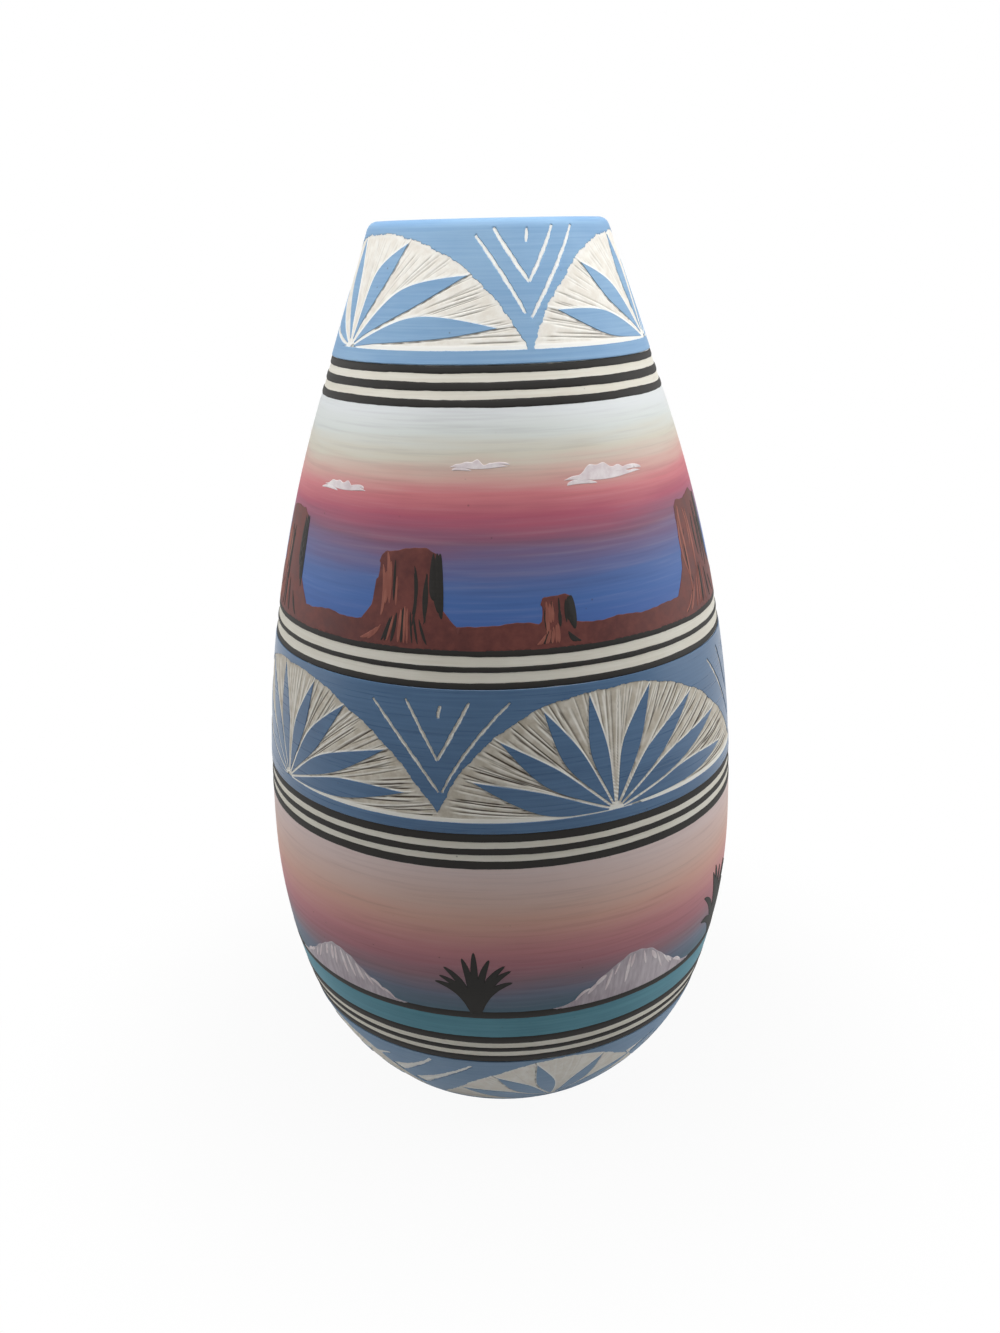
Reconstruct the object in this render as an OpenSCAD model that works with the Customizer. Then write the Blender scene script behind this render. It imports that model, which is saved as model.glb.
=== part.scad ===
// Slip-cast vase with a tapered neck, painted bands and fan ornament scraped through blue slip.
// Millimetres, +Z up. The origin is at the middle of the foot, on the surface that the vase stands on.
// Angles round the vase are measured from the front (-Y), and grow towards the right (+X).

/* [Body] */
// Overall height, slip on the rim included
height = 250; // [235:1:300]
// Radius of the bare clay at the belly, its widest point
belly_r = 68.8; // [62:0.1:85]
// Height of the belly
belly_z = 80; // [72:0.5:88]
// Radius of the long arc that runs from the belly up to the neck
shoulder_arc = 370; // [330:1:500]
// Height at which the shoulder arc goes over into the straight neck
neck_z = 204; // [195:0.5:205]
// Radius of the arc just under the belly
under_arc = 160; // [140:1:220]
// Height at which the arc under the belly goes over into the foot arc
foot_arc_z = 35; // [30:0.5:45]
// Radius of the arc that runs in to the foot
foot_arc = 70.5; // [64:0.5:90]
// Thickness of the clay wall
wall = 5.3; // [4:0.1:8]
// Thickness of the clay floor
floor_t = 8; // [5:0.5:14]
// Radius of the shallow recess under the foot
recess_r = 30; // [20:0.5:34]
// Depth of the recess under the foot
recess_h = 1.5; // [0.5:0.1:3]

/* [Coats] */
// Thickness of the slip and of each coat of paint
coat = 0.3; // [0.15:0.05:0.6]
// How far the slip turns down inside the mouth
rim_turn = 3; // [1:0.5:8]
// Height of the bare clay below the lowest slip band
foot_bare = 3; // [2:0.5:5]

/* [Stripes] */
// Number of painted lines in a group
lines = 3; // [2:1:3]
// Width of a painted line
line_w = 1.9; // [1:0.1:2.6]
// Width of the outer lines of the foot group, and of the ground line
foot_line_w = 2.4; // [1:0.1:2.6]
// Width of the line in the middle of the foot group
foot_thin_w = 0.9; // [0.6:0.1:2]
// Distance between the middles of neighbouring lines
line_pitch = 3.95; // [3.2:0.05:4.6]
// Distance from the rim down to the middle of the neck lines
neck_lines_drop = 38.6; // [34:0.1:41]
// Height of the middle of the waist lines
waist_lines_z = 145.1; // [140:0.1:152]
// Height of the middle of the belly lines
belly_lines_z = 98.1; // [95:0.1:103]
// Height of the middle of the ground line
ground_z = 47.6; // [45:0.1:52]
// Height of the middle of the foot lines
foot_lines_z = 34.2; // [32:0.1:37]

/* [Fans] */
// Angle that each fan of the neck band takes up
neck_spans = [140, 126, 94]; // [80:1:160]
// Angle at which the first fan of the neck band starts
neck_turn = -127; // [-180:1:180]
// Angle that each fan of the middle band takes up
middle_spans = [90, 90, 90, 90]; // [80:1:100]
// Angle at which the first fan of the middle band starts
middle_turn = -104; // [-180:1:180]
// Angle that each fan of the foot band takes up
foot_spans = [90, 90, 90, 90]; // [80:1:100]
// Angle at which the first fan of the foot band starts
foot_turn = -29; // [-180:1:180]
// Angle between neighbouring fans, at the tip of the wedge of slip between them
fan_gap = 2; // [1:0.25:4]
// Angle between neighbouring fans of the foot band
foot_gap = 6; // [2:0.5:12]
// Height of the plain slip between a band's lower edge and its fans
fan_sill = 3; // [2:0.25:5]
// Height of the plain slip between the tops of the fans and the band's upper edge
fan_head = 2; // [1:0.25:5]
// Height of the plain slip below the fans of the foot band
foot_sill = 2.5; // [2:0.25:6]
// Number of petals in a fan of the neck band
neck_petals = 6; // [4:1:7]
// Number of petals in a fan of the middle band
middle_petals = 8; // [5:1:9]
// Number of petals in a fan of the foot band
foot_petals = 6; // [4:1:7]
// Width of a petal of the neck band
neck_petal_w = 5.4; // [3:0.1:6]
// Width of a petal of the middle band
middle_petal_w = 6; // [3:0.1:7]
// Width of a petal of the foot band
foot_petal_w = 3.8; // [2:0.1:4.4]
// Distance from a fan's centre to the roots of its petals
petal_root = 4; // [3:0.25:6]
// Clear distance between a petal's tip and the edge of its fan
petal_tip_gap = 2; // [1:0.25:4]
// Angle between the baseline of a fan and its lowest petals
petal_lean = 8; // [6:0.5:14]

/* [Pictures] */
// Height of the strip of land along the foot of the upper picture
land_h = 5.5; // [3:0.25:9]
// Height of the tallest mesa, above the lower edge of the upper picture
mesa_h = 30; // [16:0.5:40]
// Height of the tallest hill of the lower picture
hill_h = 13; // [8:0.5:20]
// Height of the tallest plant of the lower picture
plant_h = 24; // [12:0.5:32]
// Length of the longest cloud
cloud_l = 24; // [12:0.5:34]
// Height of the thickest cloud
cloud_h = 2.6; // [1.5:0.1:4]

/* [Hidden] */
$fn = 180;

// Arc centres of the clay's outside, as [radius, height], and the angles at which the arcs meet
shoulder_c = [belly_r - shoulder_arc, belly_z];
under_c = [belly_r - under_arc, belly_z];
neck_a = asin((neck_z - belly_z) / shoulder_arc);
foot_a = asin((foot_arc_z - belly_z) / under_arc);
foot_c = under_c + (under_arc - foot_arc) * [cos(foot_a), sin(foot_a)];
sole_a = asin(-foot_c[1] / foot_arc);
neck_p = shoulder_c + shoulder_arc * [cos(neck_a), sin(neck_a)];
// Length of the straight neck, up to the middle of the rounded rim
neck_len = (height - coat - neck_z - wall / 2 * (1 - sin(neck_a))) / cos(neck_a);
// A distance beyond every surface of the vase
reach = 2 * max(height, belly_r);
// Lower edge of the slip that turns in over the rim, as [offset, length along the neck]
turned_in = [[-wall - coat, neck_len - rim_turn], [-wall, neck_len - rim_turn]];
// Two coats, for what is painted over another coat
two_coats = 2 * coat;

// Height of the middle of the neck lines
neck_lines_z = height - neck_lines_drop;
// Edges of the bands, where each group of lines starts and ends
group_half = line_pitch * (lines - 1) / 2 + line_w / 2;
foot_group_half = line_pitch * (lines - 1) / 2 + foot_line_w / 2;
neck_band_z = neck_lines_z + group_half;
upper_top_z = neck_lines_z - group_half;
upper_low_z = waist_lines_z + group_half;
middle_top_z = waist_lines_z - group_half;
middle_low_z = belly_lines_z + group_half;
lower_top_z = belly_lines_z - group_half;
lower_low_z = ground_z + foot_line_w / 2;
strip_top_z = ground_z - foot_line_w / 2;
strip_low_z = foot_lines_z + foot_group_half;
foot_band_z = foot_lines_z - foot_group_half;

// Baselines and heights of the fans
neck_fan_z = neck_band_z + fan_sill;
neck_fan_h = height - wall / 2 - fan_head - neck_fan_z;
middle_fan_z = middle_low_z + fan_sill;
middle_fan_h = middle_top_z - fan_head - middle_fan_z;
foot_fan_z = foot_bare + foot_sill;
foot_fan_h = foot_band_z - fan_head - foot_fan_z;

// Steps along each arc of the profile, and round the rim
foot_steps = 14;
under_steps = 8;
shoulder_steps = 14;
rim_steps = 12;
// Steps along a fan's arch, and along one side of a petal
arch_steps = 24;
petal_steps = 6;
// Where a stencil starts and ends, as multiples of the radius, so that its flat faces clear the coats
stencil_in = 0.75;
stencil_out = 1.6;

// Mesas of the upper picture, as [angle, half width at the foot in degrees, share of mesa_h]
mesas = [[-22, 17, 0.8], [14, 8, 0.42], [66, 20, 1], [118, 13, 0.6], [176, 24, 0.85], [236, 12, 0.5],
    [290, 19, 0.95]];
// A mesa's outline, as [share of half width, share of height], from the right of its foot to the left
mesa_outline = [[1, 0], [0.66, 0.3], [0.52, 0.42], [0.48, 0.94], [0.3, 1], [-0.36, 0.97], [-0.46, 0.9],
    [-0.54, 0.4], [-0.74, 0.2], [-1, 0]];
// Clouds of the upper picture, as [angle, share of the picture's height, share of cloud_l]
clouds = [[-46, 0.64, 0.7], [-4, 0.76, 0.6], [32, 0.69, 1], [102, 0.71, 0.8], [148, 0.78, 1],
    [205, 0.67, 0.7], [262, 0.8, 0.9]];
// Hills of the lower picture, as [angle, half width in degrees, share of hill_h]
hills = [[-44, 20, 0.9], [32, 21, 1], [100, 18, 0.7], [164, 20, 0.9], [226, 17, 0.65], [274, 14, 0.55]];
// Plants that stand between the hills, as [angle, share of plant_h]
plants = [[-7, 0.85], [67, 1], [131, 0.8], [196, 0.75], [251, 0.5]];
// Share of a cloud's height that hangs below its middle
cloud_below = 0.35;
// Number of leaves on a plant, and the spread of its outer leaves from upright
leaves = 7;
leaf_spread = 32;
// Share of a leaf's length at which two leaves part
leaf_notch = 0.3;
// How far the roots of plants and the feet of hills run below the edge that cuts them off
plant_root = 4;
hill_root = 1;

// Radius of the clay's outside at a height
function clay_r(z) =
    z >= neck_z ? neck_p[0] - (z - neck_z) * tan(neck_a) :
    z >= belly_z ? arc_r(shoulder_c, shoulder_arc, z) :
    z >= foot_arc_z ? arc_r(under_c, under_arc, z) : arc_r(foot_c, foot_arc, z);
function arc_r(c, r, z) = c[0] + sqrt(r * r - (z - c[1]) * (z - c[1]));
// Points along an arc, grown by an offset, from one angle to another
function arc_points(c, r, from, to, steps) = [for (i = [0 : steps]) let (t = from + (to - from) * i / steps)
    c + r * [cos(t), sin(t)]];
// A point beside the straight neck: an offset from its outside, at a length along it
function neck_point(offset, along) = neck_p + offset * [cos(neck_a), sin(neck_a)]
    + along * [-sin(neck_a), cos(neck_a)];
// The profile at an offset from the clay's outside, from the foot up to the middle of the rim
function profile(offset) = concat(
    arc_points(foot_c, foot_arc + offset, sole_a, foot_a, foot_steps),
    tail(arc_points(under_c, under_arc + offset, foot_a, 0, under_steps)),
    tail(arc_points(shoulder_c, shoulder_arc + offset, 0, neck_a, shoulder_steps)),
    [neck_point(offset, neck_len)]);
function tail(list) = [for (i = [1 : len(list) - 1]) list[i]];
// The rim's rounding, grown by a coat, from the outside to the inside
function rim_points(grow) = arc_points(
    neck_point(-wall / 2, neck_len), wall / 2 + grow, neck_a, neck_a + 180, rim_steps);
// A point at an angle, a radius and a height
function round_point(a, r, z) = [r * sin(a), -r * cos(a), z];
// Angle that a length along the surface takes up at a height
function turn_of(length, z) = length / clay_r(z) * 180 / PI;
function total(list, count) = count == 0 ? 0 : list[count - 1] + total(list, count - 1);
// Angle of the middle of a fan, and half the angle of its opening
function fan_mid(spans, turn, i) = turn + total(spans, i) + spans[i] / 2;
function fan_half(span, gap) = (span - gap) / 2;

// Outline of a fan's opening, from its centre on the baseline: half an ellipse on the unrolled surface
function fan_outline(mid, half, z, h) = concat([[mid, z]],
    [for (i = [0 : arch_steps]) let (t = 180 * i / arch_steps) [mid + half * cos(t), z + h * sin(t)]]);
// Distance from a fan's centre to its edge, along a direction on the unrolled surface
function fan_reach(half_l, h, dir) = 1 / sqrt(pow(cos(dir) / half_l, 2) + pow(sin(dir) / h, 2));
// Outline of a petal that starts near the fan's centre, as points on the unrolled surface
function petal_side(dir, length, w, side) = [for (i = [1 : petal_steps - 1])
    let (s = i / petal_steps, along = petal_root + s * (length - petal_root),
        off = side * w / 2 * sin(180 * s))
    [along * cos(dir) - off * sin(dir), along * sin(dir) + off * cos(dir)]];
function petal_outline(dir, length, w) = concat([petal_root * [cos(dir), sin(dir)]],
    petal_side(dir, length, w, -1), [length * [cos(dir), sin(dir)]], reversed(petal_side(dir, length, w, 1)));
function reversed(list) = [for (i = [len(list) - 1 : -1 : 0]) list[i]];
// Points of the unrolled surface, set round the vase from an angle and a height
function wrapped(points, mid, z) = [for (p = points) [mid + turn_of(p[0], z + p[1]), z + p[1]]];
// Outline of a spiky plant: leaf tips and the notches between them, from the right to the left
function plant_outline(h) = concat([[0, -plant_root]], [for (i = [0 : 2 * (leaves - 1)])
    let (lean = leaf_spread * (i / (leaves - 1) - 1), length = h * cos(lean) * (i % 2 == 0 ? 1 : leaf_notch))
    length * [-sin(lean), cos(lean)]]);
// Outline of one mesa, set round the vase, with its foot inside the strip of land
function mesa(m) = [for (p = mesa_outline)
    [m[0] + m[1] * p[0], upper_low_z + max(land_h / 2, mesa_h * m[2] * p[1])]];
// Outline of a cloud: a low arch, and a flatter one below it
function cloud_outline(l, h) = [for (i = [0 : arch_steps - 1]) let (t = 360 * i / arch_steps)
    [l / 2 * cos(t), (t <= 180 ? h : h * cloud_below) * sin(t)]];
// Outline of a hill: a smooth hump of a half width and a height
function hill_outline(half_l, h) = [for (i = [0 : arch_steps]) let (s = 1 - 2 * i / arch_steps)
    [half_l * s, h * pow(cos(90 * s), 2)]];

// The half section between two offsets from the clay's outside, along the whole profile up to the rim
module skin(inner, outer) {
    polygon(concat(profile(outer), reversed(profile(inner))));
}

// A coat round the vase between two heights
module ring(inner, outer, low, high) {
    rotate_extrude() intersection() {
        skin(inner, outer);
        translate([0, low]) square([reach, high - low]);
    }
}

// A group of painted lines round a height, with their own width for the lines between the outer ones
module line_group(z, outer_w, inner_w) {
    for (i = [0 : lines - 1])
        let (mid = z + (i - (lines - 1) / 2) * line_pitch, w = i % (lines - 1) == 0 ? outer_w : inner_w)
        ring(0, coat, mid - w / 2, mid + w / 2);
}

// A block that stands out from the wall over a narrow outline of [angle, height] points, cut in one direction
module stencil(outline) {
    angles = [for (p = outline) p[0]];
    radii = [for (p = outline) clay_r(p[1])];
    mid = (min(angles) + max(angles)) / 2;
    near = min(radii) * stencil_in;
    rotate(mid) rotate([90, 0, 0]) translate([0, 0, near]) linear_extrude(max(radii) * stencil_out - near)
        polygon([for (p = outline) [clay_r(p[1]) * sin(p[0] - mid), p[1]]]);
}

// A block that stands out from the wall over a wide outline of [angle, height] points.
// The outline's first point sees all the others.
module wide_stencil(outline) {
    n = len(outline);
    points = concat([for (p = outline) round_point(p[0], clay_r(p[1]) - wall / 2, p[1])],
        [for (p = outline) round_point(p[0], clay_r(p[1]) * stencil_out, p[1])]);
    faces = concat([for (i = [1 : n - 2]) [0, i, i + 1]], [for (i = [1 : n - 2]) [n, n + i + 1, n + i]],
        [for (i = [0 : n - 1]) let (j = (i + 1) % n) [i, n + i, n + j]],
        [for (i = [0 : n - 1]) let (j = (i + 1) % n) [i, n + j, j]]);
    polyhedron(points, faces);
}

// The openings of a band's fans
module fan_openings(spans, gap, turn, z, h) {
    for (i = [0 : len(spans) - 1])
        wide_stencil(fan_outline(fan_mid(spans, turn, i), fan_half(spans[i], gap), z, h));
}

// The petals of a band's fans
module fan_petals(spans, gap, turn, z, h, count, w) {
    for (i = [0 : len(spans) - 1])
        let (half_l = fan_half(spans[i], gap) * PI / 180 * clay_r(z + h / 2))
        for (k = [0 : count - 1])
            let (dir = petal_lean + k * (180 - 2 * petal_lean) / (count - 1),
                length = fan_reach(half_l, h, dir) - petal_tip_gap)
            stencil(wrapped(petal_outline(dir, length, w), fan_mid(spans, turn, i), z));
}

// Sub-parts
module clay_body() {
    inside = [for (p = reversed(profile(-wall))) if (p[1] > floor_t) p];
    color([0.93, 0.91, 0.85]) rotate_extrude() polygon(concat(
        profile(0), tail(rim_points(0)), tail(inside),
        [[arc_r(foot_c, foot_arc - wall, floor_t), floor_t], [0, floor_t]],
        [[0, recess_h], [recess_r, recess_h], [recess_r, 0]]));
}

module neck_slip_band() {
    color([0.52, 0.67, 0.82]) {
        difference() {
            ring(0, coat, neck_band_z, height);
            fan_openings(neck_spans, fan_gap, neck_turn, neck_fan_z, neck_fan_h);
        }
        rotate_extrude() polygon(concat(rim_points(coat), [for (p = turned_in) neck_point(p[0], p[1])],
            reversed(rim_points(0))));
    }
}

module neck_fan_petals() {
    color([0.5, 0.65, 0.81]) intersection() {
        ring(0, coat, neck_band_z, height);
        fan_petals(neck_spans, fan_gap, neck_turn, neck_fan_z, neck_fan_h, neck_petals, neck_petal_w);
    }
}

module neck_lines() {
    color([0.16, 0.15, 0.14]) line_group(neck_lines_z, line_w, line_w);
}

module upper_sky() {
    color([0.72, 0.5, 0.54]) ring(0, coat, upper_low_z, upper_top_z);
}

module upper_land() {
    color([0.36, 0.22, 0.2]) intersection() {
        ring(coat, two_coats, upper_low_z, upper_top_z);
        union() {
            translate([0, 0, upper_low_z]) cylinder(h = land_h, r = reach);
            for (m = mesas) stencil(mesa(m));
        }
    }
}

module upper_clouds() {
    color([0.93, 0.89, 0.89]) intersection() {
        ring(coat, two_coats, upper_low_z, upper_top_z);
        for (c = clouds)
            stencil(wrapped(cloud_outline(cloud_l * c[2], cloud_h * c[2]),
                c[0], upper_low_z + c[1] * (upper_top_z - upper_low_z)));
    }
}

module waist_lines() {
    color([0.15, 0.14, 0.13]) line_group(waist_lines_z, line_w, line_w);
}

module middle_slip_band() {
    color([0.35, 0.5, 0.69]) difference() {
        ring(0, coat, middle_low_z, middle_top_z);
        fan_openings(middle_spans, fan_gap, middle_turn, middle_fan_z, middle_fan_h);
    }
}

module middle_fan_petals() {
    color([0.37, 0.51, 0.69]) intersection() {
        ring(0, coat, middle_low_z, middle_top_z);
        fan_petals(middle_spans, fan_gap, middle_turn, middle_fan_z, middle_fan_h, middle_petals,
            middle_petal_w);
    }
}

module belly_lines() {
    color([0.15, 0.14, 0.13]) line_group(belly_lines_z, line_w, line_w);
}

module lower_sky() {
    color([0.62, 0.47, 0.44]) ring(0, coat, lower_low_z, lower_top_z);
}

module lower_hills() {
    color([0.78, 0.74, 0.74]) intersection() {
        ring(coat, two_coats, lower_low_z, lower_top_z);
        for (h = hills) stencil(wrapped(
            hill_outline(h[1] * PI / 180 * clay_r(lower_low_z), hill_h * h[2] + hill_root),
            h[0], lower_low_z - hill_root));
    }
}

module lower_plants() {
    color([0.13, 0.12, 0.12]) intersection() {
        ring(coat, two_coats, lower_low_z, lower_top_z);
        for (p = plants) stencil(wrapped(plant_outline(plant_h * p[1]), p[0], lower_low_z));
    }
}

module ground_line() {
    color([0.14, 0.14, 0.14]) ring(0, coat, strip_top_z, lower_low_z);
}

module turquoise_strip() {
    color([0.26, 0.46, 0.5]) ring(0, coat, strip_low_z, strip_top_z);
}

module foot_lines() {
    color([0.17, 0.18, 0.18]) line_group(foot_lines_z, foot_line_w, foot_thin_w);
}

module foot_slip_band() {
    color([0.45, 0.58, 0.72]) difference() {
        ring(0, coat, foot_bare, foot_band_z);
        fan_openings(foot_spans, foot_gap, foot_turn, foot_fan_z, foot_fan_h);
    }
}

module foot_fan_petals() {
    color([0.44, 0.56, 0.7]) intersection() {
        ring(0, coat, foot_bare, foot_band_z);
        fan_petals(foot_spans, foot_gap, foot_turn, foot_fan_z, foot_fan_h, foot_petals, foot_petal_w);
    }
}

clay_body();
neck_slip_band();
neck_fan_petals();
neck_lines();
upper_sky();
upper_land();
upper_clouds();
waist_lines();
middle_slip_band();
middle_fan_petals();
belly_lines();
lower_sky();
lower_hills();
lower_plants();
ground_line();
turquoise_strip();
foot_lines();
foot_slip_band();
foot_fan_petals();
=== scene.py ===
"""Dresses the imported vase: turned clay, blue slip with scraped fans, painted lines and painted pictures."""
from __future__ import annotations

import logging
import math
from dataclasses import dataclass, field
from enum import Enum
from functools import cached_property
from typing import Any, Callable, Iterable, Sequence, Union

import bpy
import numpy as np
from mathutils import Matrix, Vector
from mathutils.geometry import delaunay_2d_cdt


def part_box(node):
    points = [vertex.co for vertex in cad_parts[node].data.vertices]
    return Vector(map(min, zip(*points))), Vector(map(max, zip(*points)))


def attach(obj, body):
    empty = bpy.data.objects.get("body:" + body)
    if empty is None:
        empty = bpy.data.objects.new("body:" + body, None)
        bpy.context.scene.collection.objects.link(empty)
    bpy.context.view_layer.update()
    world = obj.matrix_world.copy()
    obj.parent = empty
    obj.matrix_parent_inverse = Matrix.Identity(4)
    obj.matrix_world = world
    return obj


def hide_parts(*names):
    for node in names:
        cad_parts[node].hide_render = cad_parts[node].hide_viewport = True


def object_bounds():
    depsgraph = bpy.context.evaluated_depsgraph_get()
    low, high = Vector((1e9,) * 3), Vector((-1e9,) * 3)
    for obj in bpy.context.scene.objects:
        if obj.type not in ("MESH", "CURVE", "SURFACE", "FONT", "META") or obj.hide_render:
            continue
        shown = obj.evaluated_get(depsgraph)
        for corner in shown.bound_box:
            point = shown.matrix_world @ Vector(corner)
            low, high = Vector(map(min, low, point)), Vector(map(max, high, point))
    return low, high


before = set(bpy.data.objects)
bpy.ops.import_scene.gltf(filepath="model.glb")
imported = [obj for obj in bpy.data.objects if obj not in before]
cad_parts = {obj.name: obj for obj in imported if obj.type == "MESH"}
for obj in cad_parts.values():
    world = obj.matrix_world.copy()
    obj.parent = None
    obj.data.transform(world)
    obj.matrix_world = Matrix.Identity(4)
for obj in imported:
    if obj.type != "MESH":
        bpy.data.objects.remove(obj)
CAD_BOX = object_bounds()

LOG = logging.getLogger("vase")
MM = 0.001
BODY = "root"
TURN = 2 * math.pi
# Vertices nearer than this are one vertex, where a band closes on itself
WELD = 0.002 * MM
# How far every coat reaches into what it lies on
SINK = 0.06 * MM
# Edges between faces that meet at more than this angle stay sharp
SHARP = math.radians(35)
Array = np.ndarray
Piece = bpy.types.Object
Colour = tuple[float, float, float, float]
Operand = Union["Sock", float]
Value = Union[Array, float]


def tone(red: int, green: int, blue: int) -> Colour:
    """A colour written in screen values from 0 to 255, made linear."""
    shares = (value / 255 for value in (red, green, blue))
    return (*(s / 12.92 if s <= 0.04045 else ((s + 0.055) / 1.055) ** 2.4 for s in shares), 1.0)


class Streak(Enum):
    """Which way the brush ran, as how often the strokes repeat per millimetre along x, y and z."""

    LEVEL = (0.03, 0.03, 1.5)
    SOFT = (0.02, 0.02, 0.4)
    UPRIGHT = (0.9, 0.9, 0.07)
    DABBED = (0.35, 0.35, 0.35)


# Colour of the specks of grit in the clay
GRIT = tone(70, 62, 56)


class Pattern(Enum):
    """What else varies over a surface, as how often it repeats per millimetre along x, y and z."""

    GRAIN = (2.5, 2.5, 2.5)
    PATCHES = (0.05, 0.05, 0.09)
    GRITTY = (0.1, 0.1, 0.1)
    SWEEPS = (0.014, 0.014, 0.04)
    HAIRS = (0.03, 0.03, 0.9)
    STAINS = (0.12, 0.12, 0.12)


def math_operator(operation: str, reflected: bool = False) -> Callable[[Sock, Operand], Sock]:
    """An operator of Sock, which adds a Math node.

    Args:
        operation: The node's operation.
        reflected: Whether the socket stands on the operator's right.

    Returns:
        The operator's method.
    """
    def run(sock: Sock, other: Operand) -> Sock:
        """Adds the node."""
        return sock.net.math(operation, *((other, sock) if reflected else (sock, other)))
    return run


class Sock:
    """A node's output, which takes part in Python expressions: each operator adds a Math node."""

    __add__, __radd__ = math_operator("ADD"), math_operator("ADD", True)
    __sub__, __rsub__ = math_operator("SUBTRACT"), math_operator("SUBTRACT", True)
    __mul__, __rmul__ = math_operator("MULTIPLY"), math_operator("MULTIPLY", True)
    __truediv__ = math_operator("DIVIDE")
    __pow__ = math_operator("POWER")
    __mod__ = math_operator("MODULO")
    __lt__ = math_operator("LESS_THAN")

    def __init__(self, net: Net, socket: bpy.types.NodeSocket) -> None:
        """Wraps one socket of a net."""
        self.net = net
        self.socket = socket

    def out(self, name: str) -> Sock:
        """Another output of the same node."""
        return Sock(self.net, self.socket.node.outputs[name])

    def __neg__(self) -> Sock:
        """Opposite."""
        return self * -1.0

    def __abs__(self) -> Sock:
        """Absolute value."""
        return self.net.math("ABSOLUTE", self)


class Net:
    """Adds nodes to one shader or geometry tree."""

    def __init__(self, tree: bpy.types.NodeTree) -> None:
        """Starts on a tree."""
        self.tree = tree

    @classmethod
    def of(cls, owner: bpy.types.Material | bpy.types.World) -> Net:
        """Starts on the emptied tree of a material or of the world.

        Args:
            owner: The material or the world.

        Returns:
            Its net.
        """
        owner.use_nodes = True
        owner.node_tree.nodes.clear()
        return cls(owner.node_tree)

    def node(self, kind: str, settings: dict[str, Any] | None = None,
             sockets: dict[int | str, Any] | None = None, out: int | str = 0) -> Sock:
        """Adds one node.

        Args:
            kind: The node's type.
            settings: Its properties, set first. "stops" are a ramp's places and colours.
            sockets: Values or links of its inputs, by name or number.
            out: The output that is returned, by name or number.

        Returns:
            That output, or the first input of a node without outputs.
        """
        node = self.tree.nodes.new(kind)
        for name, value in (settings or {}).items():
            if name == "stops":
                self._set_stops(node.color_ramp, value)
            else:
                setattr(node, name, value)
        for key, value in (sockets or {}).items():
            if isinstance(value, Sock):
                self.tree.links.new(value.socket, node.inputs[key])
            else:
                node.inputs[key].default_value = value
        return Sock(self, node.outputs[out] if node.outputs else node.inputs[0])

    @staticmethod
    def _set_stops(ramp: bpy.types.ColorRamp, stops: Sequence[tuple[float, Colour]]) -> None:
        """Gives a ramp its stops.

        Args:
            ramp: The ramp.
            stops: Place and colour of each stop.
        """
        while len(ramp.elements) < len(stops):
            ramp.elements.new(1.0)
        for element, (place, colour) in zip(ramp.elements, stops):
            element.position = place
            element.color = colour

    def math(self, operation: str, *values: Operand) -> Sock:
        """Adds a Math node for an operation on one or more values."""
        return self.node("ShaderNodeMath", {"operation": operation}, dict(enumerate(values)))

    def smooth(self, value: Operand, low: float, high: float) -> Sock:
        """A smooth step from 0 at low to 1 at high."""
        settings = {"interpolation_type": "SMOOTHSTEP"}
        return self.node("ShaderNodeMapRange", settings, {0: value, 1: low, 2: high})

    def mix(self, share: Operand, first: Sock | Colour, second: Sock | Colour, blend: str = "MIX") -> Sock:
        """Mixes two colours by a share, in a blend mode."""
        settings = {"data_type": "RGBA", "blend_type": blend}
        return self.node("ShaderNodeMix", settings, {0: share, 6: first, 7: second}, out=2)

    def stretched(self, vector: Sock, scale: Sequence[float]) -> Sock:
        """A vector multiplied part by part."""
        return self.node("ShaderNodeVectorMath", {"operation": "MULTIPLY"}, {0: vector, 1: tuple(scale)})

    def noise(self, vector: Sock, detail: float = 3.0, rough: float = 0.55) -> Sock:
        """Smooth noise at a place, from about 0.2 to 0.8."""
        return self.node("ShaderNodeTexNoise", None,
                         {"Vector": vector, "Scale": 1.0, "Detail": detail, "Roughness": rough})

    def pattern(self, place: Sock, kind: Streak | Pattern, detail: float = 3.0, rough: float = 0.55) -> Sock:
        """Smooth noise at a place in millimetres, which repeats as its kind says."""
        return self.noise(self.stretched(place, kind.value), detail, rough)

    def combine(self, x: Operand, y: Operand, z: Operand) -> Sock:
        """A vector from its parts."""
        return self.node("ShaderNodeCombineXYZ", None, {0: x, 1: y, 2: z})


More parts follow.
